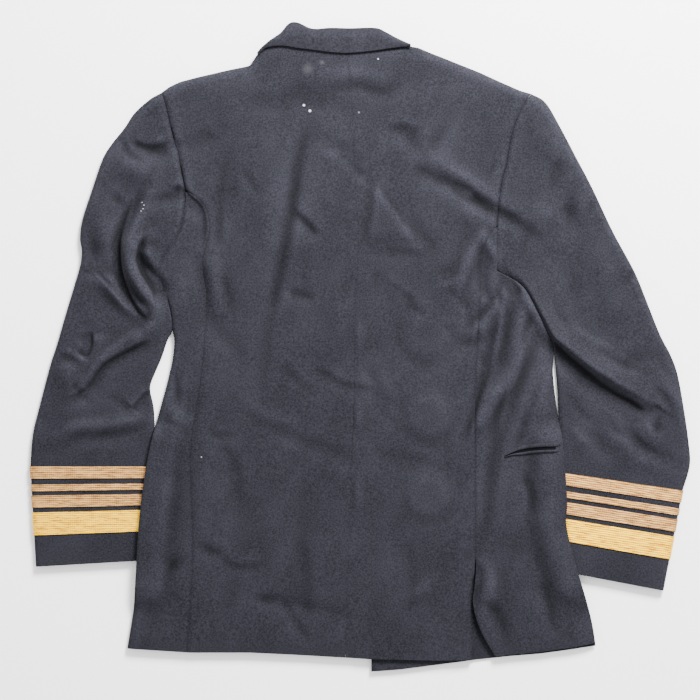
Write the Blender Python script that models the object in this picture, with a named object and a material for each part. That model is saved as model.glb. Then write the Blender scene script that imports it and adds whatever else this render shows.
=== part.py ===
# Naval officer dress jacket, laid flat on its front, seen from the back.
# X runs to the right of the back, Y up to the collar and Z up from the table.
# The tables are in millimetres, and the meshes are made in metres.
import math
from functools import partial

import bmesh
import bpy
import numpy as np

MM = 0.001

# Cloth and gaps
WALL = 2.0
LACE_WALL = 1.0
SEAM_GAP = 0.3
EDGE_GAP = 0.6
LAYER_GAP = 1.0
EDGE_ROLL = 9.0
SIDE_ROLL = 0.16
SLEEVE_ROLL = 0.05
COLLAR_ROLL = 0.35

# Heights of the outer faces above the table
BACK_HEIGHT = 8.6
SHOULDER_HEIGHT = 11.0
SLEEVE_HEIGHT = 9.0
CUFF_HEIGHT = 7.6
CUFF_LIFT = 1.4
EDGE_MIDDLE = 4.0
TUCK_LIFT = 9.6

# Body stations, as heights up the back from the waist
TOP_STATION = 340.0
ARMHOLE_FOOT = 95.0
HEM_STATION = -381.0
BODY_ROW = 14.0
BODY_COLUMN = 13.0
FRONT_COLUMN = 14.0
SLEEVE_ROW = 14.0
TOP_RATIO = 0.5
UNDER_RATIO = 0.36

# Outline of the back: x, y
TOP_LINE = (
    (-249, 317), (-238, 325), (-225, 331), (-200, 337.5), (-163, 346), (-138, 351),
    (-126, 366), (-110, 377), (-69, 377), (-13, 372), (24, 374), (60, 375),
    (72, 373), (99, 362.5), (124, 352.5), (149, 342.5), (174, 331), (199, 320), (213, 316),
)
HEM_LINE = (
    (-292, -376), (-213, -381), (-138, -381), (-76, -384), (12, -389), (99, -391),
    (139, -390), (187, -384), (224, -380), (262, -375), (293, -369),
)
ARMHOLE_LEFT = (
    (-248, 317.5), (-243, 302), (-239, 284), (-233, 259), (-228, 246), (-225, 227),
    (-219, 196), (-218, 184), (-221, 165), (-226, 146), (-233, 132), (-242, 119),
    (-248, 108), (-252, 95),
)
ARMHOLE_RIGHT = (
    (213, 316), (204, 302), (195, 284), (189, 265), (185, 246), (182, 227),
    (177, 209), (174, 190), (172, 171), (170.5, 146), (170.5, 121), (170.5, 95),
)
SIDE_LEFT_EDGE = (
    (-252, 95), (-250, 80), (-241, 63), (-235, 46), (-232, 15), (-236, -18),
    (-247, -66), (-263, -129), (-272, -185), (-277, -235), (-282, -316), (-292, -382),
)
SIDE_RIGHT_EDGE = (
    (170.5, 95), (191.9, 82.5), (204.4, 71.5), (216.9, 49), (229.4, 24), (238.4, 2), (239, -35),
    (245.5, -83), (252, -122), (257, -191), (256, -222), (268, -272), (287, -335), (295, -382),
)

# Seams of the back: x, y
CENTRE_SEAM = (
    (-19, 380), (-11, 309), (-5.5, 184), (-3, 134), (-7, 21), (-8, -60), (-13, -191), (-19, -392),
)
LEFT_SEAM = (
    (-219, 196), (-201, 184), (-191, 169), (-188, 146), (-194, 121), (-197, 100), (-192, 59),
    (-195, 0), (-203, -66), (-211, -116), (-212, -166), (-209, -247), (-213, -329), (-217, -392),
)
RIGHT_SEAM = (
    (170.5, 152), (158, 134), (152, 109), (149, 59), (145.5, -4), (143, -66), (143, -260),
    (139, -291), (137, -316), (138, -354), (139, -392),
)
RIGHT_VENT_EDGE = (
    (143, -260), (144, -275), (142, -300), (140, -318),
    (145, -341), (153, -360), (162, -376), (172, -392),
)

# Sleeves: x, y of the outer and inner edges from the armhole to the top of the first stripe
LEFT_OUTER = (
    (-248, 317.5), (-263, 309), (-282, 292), (-294, 274), (-304, 252), (-319, 234), (-335, 196),
    (-347, 159), (-350, 136), (-348, 121), (-349, 106), (-353, 90), (-368, 40), (-379, 2),
    (-386, -19), (-400, -72), (-409, -110), (-412, -149),
)
LEFT_INNER = (
    (-252, 95), (-256, 82), (-253, 69), (-246, 58), (-241, 44), (-241, 27), (-248, 9), (-254, -14),
    (-262, -45), (-259, -66), (-257, -91), (-257, -149),
)
RIGHT_OUTER = (
    (213, 316), (231, 305), (249, 275), (269, 237), (289, 199), (315, 144), (342, 94),
    (358, 55), (374, 15), (387, -10), (396, -35), (404, -79), (410, -122), (411, -148), (402, -179),
)
RIGHT_INNER = (
    (170.5, 95), (193, 82.5), (205.5, 71.5), (218, 49), (230.5, 24), (240.5, 2), (243, -35),
    (247, -85), (247, -156),
)
# Cuffs: x, y of the outer and inner edges at the first stripe and at the cuff's end
LEFT_CUFF = ((-412, -149), (-257, -149), (-405, -274), (-268, -266))
RIGHT_CUFF = ((402, -179), (247, -156), (378, -304), (258, -281))
# Parts of the way down the cuff: each stripe's top and foot, then the crease and the end
CUFF_PARTS = (0, 0.12, 0.18, 0.245, 0.29, 0.41, 0.46, 0.685, 0.85, 1)
STRIPES = ((0, "tan"), (2, "tan"), (4, "tan"), (6, "gold"))

# Collar: x, y of its fold, y of its outer edge
COLLAR = (
    (-128.5, 367, 362), (-124, 372.5, 367), (-119, 377, 371.5), (-113, 382, 373.5),
    (-100, 391, 375), (-89, 403, 374), (-78, 404, 372),
    (-60, 396.5, 370), (-38, 397.5, 367), (-13, 397, 366), (18, 397.5, 369), (31, 392.5, 371),
    (43, 386, 372.5), (58, 379, 374), (70, 375, 373), (74, 373.6, 372),
)
COLLAR_WALL = 1.8
COLLAR_STEPS = 1
STAND_GAP = 1.2

# Fronts, hidden under the back
LEFT_FRONT_EDGE = 110.0
RIGHT_FRONT_EDGE = 13.5
BREAK_HEIGHT = 45.0
LEFT_NECK_POINT = (-112.0, 352.0)
RIGHT_NECK_POINT = (62.0, 352.0)
FRONT_HEM_INSET = 4.0
RIGHT_CORNER = (
    (13, -405), (49, -402.5), (99, -396), (139, -391),
    (187, -386), (224, -383), (262, -378), (293, -373),
)
# Lapel: part of the way from the break to the neck, width
LAPEL_END = 0.95
LAPEL_STARTS = {"left": 0.05, "right": 0.42}
LAPEL_WIDTHS = ((0.05, 10), (0.3, 48), (0.6, 82), (0.8, 98), (0.93, 88), (1.0, 52))
BUTTON_RADIUS = 11.0
BUTTON_THICKNESS = 2.2
BUTTON_TAPER = 0.94
BUTTON_COLUMNS = (84.0, -26.0)
BUTTON_ROWS = (15.0, -85.0, -185.0)

# Pocket mouth on the right side panel: x, y of its middle line
RIGHT_POCKET = ((180, -135), (200, -129), (224, -126), (240, -125))
JET_WIDTH = 4.5
JET_WALL = 1.2
UNDER_ARMHOLE_GAP = 1.4
JET_GAP = 1.2
POCKET_SLIT = 2.2

# Folds: height, width to its left, width to its right, points along it.
# A trough has a height below nothing. Widths are seen walking from the first point.
SLEEVE_FOLDS = (
    (-3.0, 9, 9, ((-279, 256), (-263, 249), (-251, 243), (-234, 244))),
    (5.0, 16, 16, ((-300, 232), (-280, 222), (-262, 214))),
    (-4.0, 9, 7, ((-276, 186), (-286, 165), (-303, 134), (-303, 109), (-301, 84), (-282, 49))),
    (8.5, 13, 8, (
        (-264, 188), (-276, 160), (-287, 134), (-290, 111), (-284, 88),
        (-270, 65), (-258, 42), (-264, 22), (-278, 9),
    )),
    (-3.0, 8, 8, ((-263, 184), (-238, 186), (-223, 191))),
    (5.5, 8, 8, ((-262, 141), (-267, 127), (-264, 112), (-258, 101))),
    (-6.0, 8, 8, ((-274, 108), (-262, 90), (-251, 77), (-246, 63))),
    (6.0, 9, 14, ((-326, 88), (-308, 72), (-290, 50), (-272, 38))),
    (-3.5, 9, 9, ((-326, 78), (-311, 58), (-296, 44), (-276, 28))),
    (4.0, 16, 16, ((-333, 182), (-322, 150), (-318, 120))),
    (-2.5, 8, 8, ((-335, 136), (-333, 108))),
    (6.0, 15, 8, ((-272, 22), (-298, 4), (-316, -12), (-330, -30), (-346, -44))),
    (-3.5, 9, 9, ((-274, 6), (-301, -10), (-322, -28), (-338, -50), (-366, -66))),
    (-3.5, 8, 8, ((-338, 22), (-336, 2), (-344, -16), (-366, -12))),
    (4.5, 14, 14, ((-374, -18), (-366, -34), (-364, -52))),
    (-2.0, 9, 9, ((-266, -47), (-276, -66), (-287, -79))),
    (4.5, 14, 9, ((-270, -92), (-290, -94), (-326, -100), (-356, -103), (-392, -120))),
    (-3.5, 10, 10, ((-266, -76), (-276, -98), (-301, -110), (-351, -115), (-394, -134))),
    (2.0, 16, 16, ((-300, -128), (-350, -134))),
    (-1.5, 10, 10, ((-382, -262), (-350, -258), (-320, -258))),
    (3.5, 16, 16, ((226, 276), (240, 250), (262, 222))),
    (-3.0, 10, 10, ((249, 234), (243, 215), (237, 184))),
    (3.5, 14, 14, ((268, 200), (276, 176), (280, 150))),
    (-3.0, 9, 9, ((253, 177), (259, 165), (258, 146))),
    (3.0, 16, 16, ((208, 172), (226, 166), (240, 168))),
    (-2.5, 11, 11, ((256, 102), (268, 52))),
    (3.5, 18, 18, ((300, 110), (310, 66), (320, 30))),
    (9.0, 26, 7, (
        (206, 62), (228, 30), (243, 12), (262, -3), (282, -20),
        (301, -32), (320, -44), (340, -54), (362, -68),
    )),
    (-3.5, 8, 14, ((216, 36), (238, -4), (262, -20), (281, -40), (299, -52), (318, -66), (350, -86))),
    (-2.0, 10, 10, ((324, -20), (356, -14))),
    (3.5, 9, 14, ((368, -29), (381, -47), (393, -66), (404, -88))),
    (4.0, 9, 9, ((352, -88), (360, -104), (366, -118))),
    (-3.0, 7, 7, ((372, -92), (366, -112))),
    (-3.5, 9, 9, ((331, -91), (339, -110), (352, -126), (381, -141), (405, -150))),
    (3.0, 14, 14, ((318, -104), (326, -122), (342, -140), (372, -152))),
    (-2.5, 10, 10, ((290, -112), (312, -140))),
    (2.0, 12, 12, ((268, -110), (290, -138))),
)
BODY_FOLDS = (
    (-2.5, 8, 8, ((-217, 181), (-207, 175), (-198, 169))),
    (4.0, 10, 16, ((-182, 116), (-180, 84), (-177, 50))),
    (-3.0, 9, 8, ((-201, 106), (-196, 84), (-190, 40))),
    (3.5, 16, 16, ((-228, 96), (-222, 60), (-216, 20))),
    (3.5, 11, 11, ((-240, -70), (-230, -84), (-220, -92))),
    (-2.5, 7, 7, ((-247, -93), (-238, -105), (-219, -104))),
    (-2.0, 14, 10, ((-200, -29), (-208, -72), (-214, -114))),
    (2.5, 26, 26, ((-185, -50), (-192, -120), (-192, -200))),
    (2.5, 24, 24, ((-200, 300), (-150, 322), (-100, 330))),
    (-2.0, 12, 12, ((-144, 309), (-101, 302), (-82, 313), (-63, 305), (-26, 301))),
    (2.5, 14, 14, ((-60, 338), (-13, 340), (30, 338))),
    (-2.0, 9, 9, ((-32, 321), (-1, 325), (24, 317), (39, 321), (49, 334))),
    (2.0, 22, 22, ((60, 310), (110, 318), (160, 300))),
    (-1.8, 9, 9, ((43, 277), (62, 259), (74, 246))),
    (-1.8, 9, 9, ((112, 284), (93, 259), (84, 246))),
    (-2.5, 9, 12, ((-56, 271), (-72, 234), (-79, 202), (-91, 134), (-103, 71), (-116, 21), (-119, -39))),
    (2.0, 18, 18, ((-100, 250), (-108, 190), (-118, 120), (-132, 60))),
    (2.0, 22, 22, ((-30, 280), (-46, 200), (-58, 120), (-66, 60))),
    (-1.8, 10, 10, ((-51, 259), (-19, 244), (12, 206))),
    (-2.0, 11, 11, ((-168, 234), (-164, 209), (-168, 159))),
    (-2.0, 12, 12, ((-169, 271), (-201, 258), (-226, 250))),
    (-1.8, 10, 10, ((62, 165), (81, 134), (93, 121))),
    (3.5, 14, 9, ((92, 234), (118, 218), (143, 201), (164, 184), (190, 172))),
    (-3.2, 9, 10, ((87, 221), (124, 199), (158, 174), (187, 161), (218, 138), (249, 124))),
    (3.0, 12, 20, ((110, 188), (140, 166), (166, 148))),
    (-1.6, 11, 11, ((77, 96), (76, 71), (69, 27))),
    (-1.6, 11, 11, ((12, 96), (37, 52), (46, 21), (56, 5), (77, -16), (81, -41))),
    (-1.6, 11, 11, ((-194, 40), (-169, 12), (-148, -14))),
    (-1.6, 10, 10, ((-107, -101), (-76, -116), (-32, -131), (-4, -147))),
    (-1.6, 10, 10, ((43, -137), (74, -145), (102, -156))),
    (1.8, 18, 18, ((-34, 70), (-24, 40), (-20, 10))),
    (-1.8, 10, 10, ((74, -104), (93, -106), (118, -89), (149, -72))),
    (4.5, 8, 8, ((152, 140), (137, 115), (127, 90), (118, 59))),
    (3.5, 7, 7, ((154, 138), (163, 121), (167, 106))),
    (-3.5, 8, 8, ((151, 120), (151, 96), (154, 71), (166, 62))),
    (-4.5, 11, 11, ((172, 90), (190, 74), (198, 62))),
    (4.5, 9, 10, ((172, 62), (168, 40), (158, 24), (140, 18))),
    (-4.5, 10, 9, ((190, 66), (186, 48), (181, 21), (173, -10), (160, -37), (145, -72))),
    (6.0, 8, 11, ((208, 52), (198, 15), (193, -16), (180, -47), (163, -72), (150, -95))),
    (-4.0, 11, 11, ((224, 21), (212, -16), (199, -47), (180, -97), (166, -141), (158, -204), (146, -250))),
    (3.5, 14, 20, ((226, -20), (214, -60), (202, -96))),
    (3.0, 26, 26, ((200, -170), (196, -210), (186, -250))),
    (-2.0, 20, 20, ((-222, -150), (-222, -235))),
    (-1.6, 22, 22, ((-163, -147), (-147, -204), (-132, -279))),
    (1.8, 24, 24, ((-118, -170), (-112, -230), (-104, -290))),
    (-1.6, 18, 18, ((-76, -166), (-78, -266), (-76, -316))),
    (2.0, 26, 26, ((-42, -190), (-44, -260), (-46, -330))),
    (1.8, 26, 26, ((48, -200), (44, -280), (40, -350))),
    (-1.5, 9, 9, ((-128, -312), (-76, -321), (-19, -335))),
    (-1.5, 12, 12, ((-157, -279), (-167, -347))),
    (-2.5, 8, 8, ((-201, -249), (-173, -261))),
    (-2.5, 9, 9, ((-219, -266), (-251, -281))),
    (-2.5, 8, 8, ((143, -260), (124, -264), (112, -272), (93, -295))),
    (3.5, 10, 10, ((158, -276), (160, -300), (156, -322))),
    (-2.5, 9, 9, ((152, -320), (170, -332), (184, -366))),
    (2.5, 20, 20, ((210, -300), (216, -330), (222, -360))),
)


# Curves and smooth steps
def smooth_line(points, steps=6):
    """Points along a smooth curve through the given ones."""
    pts = np.array(points, dtype=float)
    padded = np.vstack([2 * pts[0] - pts[1], pts, 2 * pts[-1] - pts[-2]])
    line = []
    for a, b, c, d in zip(padded, padded[1:], padded[2:], padded[3:]):
        for t in np.arange(steps) / steps:
            square = 2 * a - 5 * b + 4 * c - d
            cube = 3 * b - a - 3 * c + d
            bend = b + 0.5 * ((c - a) * t + square * t**2 + cube * t**3)
            line.append(bend)
    line.append(pts[-1])
    return np.array(line)


def x_of_y(points):
    """A function that gives x at a height y on a line that runs down the back."""
    line = smooth_line(points)
    order = np.argsort(line[:, 1])
    return lambda y: np.interp(y, line[order, 1], line[order, 0])


def y_of_x(points):
    line = np.array(points, dtype=float)
    return lambda x: np.interp(x, line[:, 0], line[:, 1])


def along(line, part):
    """The points at given parts of a line's length."""
    line = np.array(line, dtype=float)
    lengths = np.concatenate([[0], np.cumsum(np.hypot(*np.diff(line, axis=0).T))])
    at = np.array(part) * lengths[-1]
    return np.stack([np.interp(at, lengths, line[:, 0]), np.interp(at, lengths, line[:, 1])], axis=-1)


def ease(value):
    value = np.clip(value, 0, 1)
    return value * value * (3 - 2 * value)


def spread(low, high, step):
    count = max(1, round(abs(high - low) / step))
    return list(np.linspace(low, high, count + 1))


top_y = y_of_x(TOP_LINE)
hem_y = y_of_x(HEM_LINE)
left_armhole = x_of_y(ARMHOLE_LEFT)
right_armhole = x_of_y(ARMHOLE_RIGHT)
left_edge = x_of_y(SIDE_LEFT_EDGE)
right_edge = x_of_y(SIDE_RIGHT_EDGE)
centre_seam = x_of_y(CENTRE_SEAM)
left_seam = x_of_y(LEFT_SEAM)
right_seam = x_of_y(RIGHT_SEAM)
right_vent = x_of_y(RIGHT_VENT_EDGE)


# Heights of the cloth
def fold_height(x, y, folds):
    """Sum of the folds at each point, as soft ridges and troughs beside their lines."""
    total = np.zeros_like(x)
    for height, left_width, right_width, points in folds:
        line = smooth_line(points, 3)
        best = np.full_like(x, 1e9)
        side = np.zeros_like(x)
        share = np.zeros_like(x)
        count = len(line) - 1
        for index in range(count):
            (ax, ay), (bx, by) = line[index], line[index + 1]
            dx, dy = bx - ax, by - ay
            t = np.clip(((x - ax) * dx + (y - ay) * dy) / (dx * dx + dy * dy), 0, 1)
            away = np.hypot(x - ax - t * dx, y - ay - t * dy)
            nearer = away < best
            best = np.where(nearer, away, best)
            side = np.where(nearer, dx * (y - ay) - dy * (x - ax), side)
            share = np.where(nearer, (index + t) / count, share)
        width = np.where(side > 0, left_width, right_width)
        ends = 0.35 + 0.65 * np.sin(np.pi * share)
        total += height * ends * np.exp(-(best / width) ** 2)
    return total


def tuck(x, y):
    """How much of the full lift the sides of the body have, where they lie over the cuffs."""
    left_span = ease((-80 - y) / 34) * ease((y + 334) / 40)
    right_span = ease((-84 - y) / 34) * ease((y + 334) / 40)
    left = left_span * ease((48 - (x - left_edge(y))) / 32)
    right = right_span * ease((48 - (right_edge(y) - x)) / 32)
    return np.maximum(left, right)


def button_lift(x, y):
    lift = np.zeros_like(x)
    for column in BUTTON_COLUMNS:
        for row in BUTTON_ROWS:
            away = np.hypot(x - column, y - row)
            lift = np.maximum(lift, ease((42 - away) / 26))
    return lift * (BUTTON_THICKNESS + LAYER_GAP)


def roll_line(side, y):
    """x of the front's edge at a height: straight up to the break, then slanting to the neck."""
    edge = LEFT_FRONT_EDGE if side == "left" else RIGHT_FRONT_EDGE
    neck = LEFT_NECK_POINT if side == "left" else RIGHT_NECK_POINT
    part = np.clip((y - BREAK_HEIGHT) / (neck[1] - BREAK_HEIGHT), 0, 1.1)
    return edge + (neck[0] - edge) * part


def roll_x(side):
    """The front's edge as a function of height alone."""
    return partial(roll_line, side)


def lapel_cover(side, x, y):
    """1 over the turned-back lapel, falling to 0 just outside it."""
    sign = -1 if side == "left" else 1
    neck = LEFT_NECK_POINT if side == "left" else RIGHT_NECK_POINT
    part = (y - BREAK_HEIGHT) / (neck[1] - BREAK_HEIGHT)
    width = np.interp(part, [w[0] for w in LAPEL_WIDTHS], [w[1] for w in LAPEL_WIDTHS])
    beyond = sign * (x - roll_line(side, y)) - width * 1.25
    return ease((34 - beyond) / 22) * ease((part - LAPEL_STARTS[side] + 0.19) / 0.1)


def left_front_base(x, y):
    lapel = lapel_cover("left", x, y) * (WALL + LAYER_GAP)
    return np.maximum(lapel, button_lift(x, y)) + tuck(x, y) * TUCK_LIFT


def left_front_cover(x, y):
    return ease((36 - (x - roll_line("left", y))) / 22)


def right_lapel_base(x, y):
    return left_front_cover(x, y) * (left_front_base(x, y) + WALL + LAYER_GAP)


def right_front_base(x, y):
    lapel = lapel_cover("right", x, y) * (WALL + LAYER_GAP)
    return right_lapel_base(x, y) + lapel + tuck(x, y) * TUCK_LIFT * (1 - left_front_cover(x, y))


def right_front_cover(x, y):
    return ease((36 - (roll_line("right", y) - x)) / 22)


def front_top(x, y):
    left = (left_front_base(x, y) + WALL) * left_front_cover(x, y)
    right = (right_front_base(x, y) + WALL) * right_front_cover(x, y)
    return np.maximum(left, right)


def body_height(x, y):
    """Height of the back's outer face."""
    near_top = ease((y - 230) / 110)
    near_hem = ease((-352 - y) / 36)
    base = BACK_HEIGHT + (SHOULDER_HEIGHT - BACK_HEIGHT) * near_top - 1.2 * near_hem
    wanted = base + tuck(x, y) * (TUCK_LIFT - 2.5) + fold_height(x, y, BODY_FOLDS) + arm_folds(x, y)
    hang = tuck(x, y)
    floor = front_top(x, y) + LAYER_GAP + WALL + 7 * hang * (1 - hang) + 1.4 * lapel_cover("right", x, y)
    return soft_max(wanted, floor)


def arm_folds(x, y):
    """What the sleeves' folds add on the body, fading away from the armholes."""
    left = ease((x + 240) / 40)
    right = ease((190 - x) / 40)
    return fold_height(x, y, SLEEVE_FOLDS) * (1 - left * right)


def soft_max(wanted, floor, blend=1.0):
    gap = wanted - floor
    return floor + 0.5 * (gap + np.sqrt(gap * gap + blend * blend))


def sleeve_height(x, y, cuff):
    """Height of a sleeve's outer face; cuff runs from 0 on the arm to 1 at the lace."""
    down = ease((200 - y) / 330)
    base = SLEEVE_HEIGHT + (CUFF_HEIGHT - SLEEVE_HEIGHT) * down
    shoulder = (SHOULDER_HEIGHT - SLEEVE_HEIGHT) * ease((y - 230) / 90)
    body_side = fold_height(x, y, BODY_FOLDS) * ease(1 - sleeve_reach(x) / 45)
    folds = (1 - 0.75 * cuff) * fold_height(x, y, SLEEVE_FOLDS)
    floor = CUFF_LIFT * cuff + 2 * WALL + LAYER_GAP
    return soft_max(base + shoulder + folds + body_side, floor)


def sleeve_reach(x):
    """How far a point is out past the armhole's mean line."""
    return np.where(x < 0, np.maximum(-232 - x, 0), np.maximum(x - 176, 0))


# Sheets of cloth
def edge_parts(roll):
    """Places across a rolled edge, as parts of the panel's width."""
    return [roll * (1 - math.cos(math.radians(angle))) for angle in (0, 28)]


def rolled(height, middle, part, roll):
    """Height at a part of the width from an edge that rolls down to its middle."""
    inside = np.clip(part / roll, 0, 1)
    return middle + (height - middle) * np.sqrt(np.clip(1 - (1 - inside) ** 2, 0, 1))


def edge_angle(part, roll):
    """Cosine of the roll's angle: 1 where the edge stands upright, 0 on the flat."""
    return np.clip(1 - part / roll, 0, 1)


def cloth(name, outer, wall, up, material, ratio=1.0, keep=None, closed=False):
    """A closed sheet from a grid of outer points and the offsets to its inner face."""
    rows, columns, _ = outer.shape
    bm = bmesh.new()
    offset = bm.verts.layers.float_vector.new("offset")
    group = bm.verts.layers.deform.verify()
    bmesh.ops.create_grid(bm, x_segments=columns - 1, y_segments=rows - 1, size=1)
    bm.verts.ensure_lookup_table()
    order = sorted(bm.verts, key=lambda v: (round(v.co.y, 5), round(v.co.x, 5)))
    flat_outer = outer.reshape(-1, 3) * MM
    flat_wall = wall.reshape(-1, 3) * MM
    held = np.zeros((rows, columns), dtype=bool)
    held[0], held[-1], held[:, 0], held[:, -1] = True, True, True, True
    if keep is not None:
        held |= keep
    for vert, point, inward, fixed in zip(order, flat_outer, flat_wall, held.ravel()):
        vert.co = point
        vert[offset] = inward
        if not fixed:
            vert[group][0] = 1.0
    if closed:
        bmesh.ops.remove_doubles(bm, verts=bm.verts, dist=1e-7)
    bm.normal_update()
    facing = sum(face.normal.z * face.calc_area() for face in bm.faces)
    if (facing > 0) != up:
        bmesh.ops.reverse_faces(bm, faces=bm.faces)
    mesh = bpy.data.meshes.new(name)
    bm.to_mesh(mesh)
    bm.free()
    if ratio < 1:
        mesh = thinned(name, mesh, ratio)
    return walled(name, mesh, material)


def thinned(name, mesh, ratio):
    """The sheet with fewer faces inside and every point of its edges kept."""
    sheet = bpy.data.objects.new(name, mesh)
    collection.objects.link(sheet)
    sheet.vertex_groups.new(name="inside")
    fewer = sheet.modifiers.new("fewer faces", "DECIMATE")
    fewer.ratio = ratio
    fewer.vertex_group = "inside"
    fewer.vertex_group_factor = 1.0
    graph = bpy.context.evaluated_depsgraph_get()
    result = bpy.data.meshes.new_from_object(sheet.evaluated_get(graph))
    bpy.data.objects.remove(sheet)
    bpy.data.meshes.remove(mesh)
    return result


def walled(name, mesh, material):
    """Give the sheet its wall: its faces are extruded to the inner points."""
    bm = bmesh.new()
    bm.from_mesh(mesh)
    offset = bm.verts.layers.float_vector["offset"]
    made = bmesh.ops.extrude_face_region(bm, geom=bm.faces[:], use_keep_orig=True)
    for vert in (item for item in made["geom"] if isinstance(item, bmesh.types.BMVert)):
        vert.co += vert[offset]
    bmesh.ops.triangulate(bm, faces=bm.faces)
    bmesh.ops.recalc_face_normals(bm, faces=bm.faces)
    bm.to_mesh(mesh)
    bm.free()
    mesh.name = name
    mesh.shade_smooth()
    mesh.set_sharp_from_angle(angle=math.radians(50))
    return place(name, mesh, material)


def place(name, mesh, material):
    piece = bpy.data.objects.new(name, mesh)
    mesh.materials.clear()
    mesh.materials.append(material)
    collection.objects.link(piece)
    return piece


def finish(name, red, green, blue, roughness, metallic=0.0):
    material = bpy.data.materials.new(name)
    material.use_nodes = True
    shader = material.node_tree.nodes["Principled BSDF"]
    shader.inputs["Base Color"].default_value = (red, green, blue, 1)
    shader.inputs["Roughness"].default_value = roughness
    shader.inputs["Metallic"].default_value = metallic
    return material


def toward(plan, axis):
    """Unit steps along the rows or the columns of a sheet's plan."""
    step = np.gradient(plan, axis=axis)
    return step / np.linalg.norm(step, axis=-1, keepdims=True)


def inward(x, y, height, lean, lean_x, lean_y, up, thickness=WALL):
    """Offsets to the inner face: straight down on the flat, sideways at a rolled edge."""
    step = 1.0
    slope_x = (height(x + step, y) - height(x - step, y)) / (2 * step)
    slope_y = (height(x, y + step) - height(x, y - step)) / (2 * step)
    steep = np.sqrt(1 + np.clip(slope_x**2 + slope_y**2, 0, 1.6))
    sink = thickness * (1 - lean) ** 0.5 * np.where(lean > 0, 1.0, steep)
    return np.stack([thickness * lean * lean_x, thickness * lean * lean_y, -sink if up else sink], axis=-1)


# Body panels
def body_rows(step):
    """Stations down the back, closer together where the shoulder rolls over."""
    rows = [TOP_STATION - part * EDGE_ROLL for part in edge_parts(1.0)]
    rows += spread(TOP_STATION - EDGE_ROLL, ARMHOLE_FOOT, step)
    rows += spread(ARMHOLE_FOOT, HEM_STATION, step)[1:]
    return np.array(rows)


def station_y(x, station, hem=hem_y):
    near_top = np.clip((station - 200) / (TOP_STATION - 200), 0, 1)
    near_hem = np.clip((-250 - station) / (-250 - HEM_STATION), 0, 1)
    return station + near_top * (top_y(x) - TOP_STATION) + near_hem * (hem(x) - HEM_STATION)


def line_at(column, stations, hem=hem_y):
    """Points where a line down the back crosses the stations."""
    x = column(stations)
    for _ in range(12):
        x = column(station_y(x, stations, hem))
    return x


def side_outline(side):
    armhole, edge = (left_armhole, left_edge) if side == "left" else (right_armhole, right_edge)
    return lambda y: np.where(y >= ARMHOLE_FOOT, armhole(y), edge(y))


def seam_line(points, outline):
    """A seam that starts on the armhole, and follows the outline above its start."""
    seam = x_of_y(points)
    return lambda y: np.where(y >= points[0][1], outline(y), seam(y))


left_outline = side_outline("left")
right_outline = side_outline("right")
back_left_line = seam_line(LEFT_SEAM, left_outline)
back_right_line = seam_line(RIGHT_SEAM, right_outline)


def vent_line(y):
    return np.where(y > RIGHT_VENT_EDGE[0][1], back_right_line(y), right_vent(y))


def panel(name, stations, lines, parts, make, rolls, hem=hem_y):
    """One body panel between two lines down the back."""
    start, end = lines
    base, up, material, ratio = make
    parts = np.array(parts)[None, :]
    x_start = line_at(start, stations, hem)[:, None] + SEAM_GAP / 2
    x_end = line_at(end, stations, hem)[:, None] - SEAM_GAP / 2
    x = x_start + (x_end - x_start) * parts
    y = station_y(x, stations[:, None], hem)
    z = base(x, y)
    middle = EDGE_MIDDLE + tuck(x, y) * TUCK_LIFT
    sign = 1 if up else -1
    foot = ease((ARMHOLE_FOOT + 1 - y) / 8)
    edge_z = middle + sign * (EDGE_GAP / 2 + 0.3 * tuck(x, y))
    lean = np.zeros_like(x)
    lean_x = np.zeros_like(x)
    if rolls == "start":
        part = parts + np.zeros_like(x)
        z = z + foot * (rolled(z, edge_z, part, SIDE_ROLL) - z)
        lean = np.maximum(lean, foot * edge_angle(part, SIDE_ROLL))
        lean_x = np.where(part < SIDE_ROLL, 1.0, lean_x)
    if rolls == "end":
        part = 1 - parts + np.zeros_like(x)
        z = z + foot * (rolled(z, edge_z, part, SIDE_ROLL) - z)
        lean = np.maximum(lean, foot * edge_angle(part, SIDE_ROLL))
        lean_x = np.where(part < SIDE_ROLL, -1.0, lean_x)
    below_top = (TOP_STATION - stations[:, None]) + np.zeros_like(x)
    shoulder = np.clip((TOP_STATION - stations[:, None]) / EDGE_ROLL, 0, 1) + np.zeros_like(x)
    top_middle = EDGE_MIDDLE + sign * SEAM_GAP / 2
    neck = ease((x + 146) / 16) * ease((88 - x) / 16)
    if up:
        top_middle = top_middle + neck * (SHOULDER_HEIGHT - 3.0 - EDGE_MIDDLE)
    z_top = rolled(z, top_middle, shoulder, 1.0)
    z = np.where(below_top < EDGE_ROLL, z_top, z)
    top_lean = np.where(below_top < EDGE_ROLL, edge_angle(shoulder, 1.0), 0)
    down = toward(np.stack([x, y], axis=-1), 0)
    at_top = top_lean > lean
    wall_x = np.where(at_top, down[..., 0], lean_x)
    wall_y = np.where(at_top, down[..., 1], 0.0)
    wall = inward(x, y, base, np.maximum(lean, top_lean), wall_x, wall_y, up)
    keep = np.zeros(x.shape, dtype=bool)
    keep[:3] = True
    keep[:, :3] |= rolls == "start"
    keep[:, -3:] |= rolls == "end"
    keep |= near_pocket(x, y)
    return cloth(name, np.stack([x, y, z], axis=-1), wall, up, material, ratio, keep)


def near_pocket(x, y):
    line = y_of_x(RIGHT_POCKET)
    return (np.abs(y - line(x)) < 22) & (x > RIGHT_POCKET[0][0] - 16) & (x < RIGHT_POCKET[-1][0] + 16)


def under_hem(x):
    return hem_y(x) + FRONT_HEM_INSET


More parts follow.
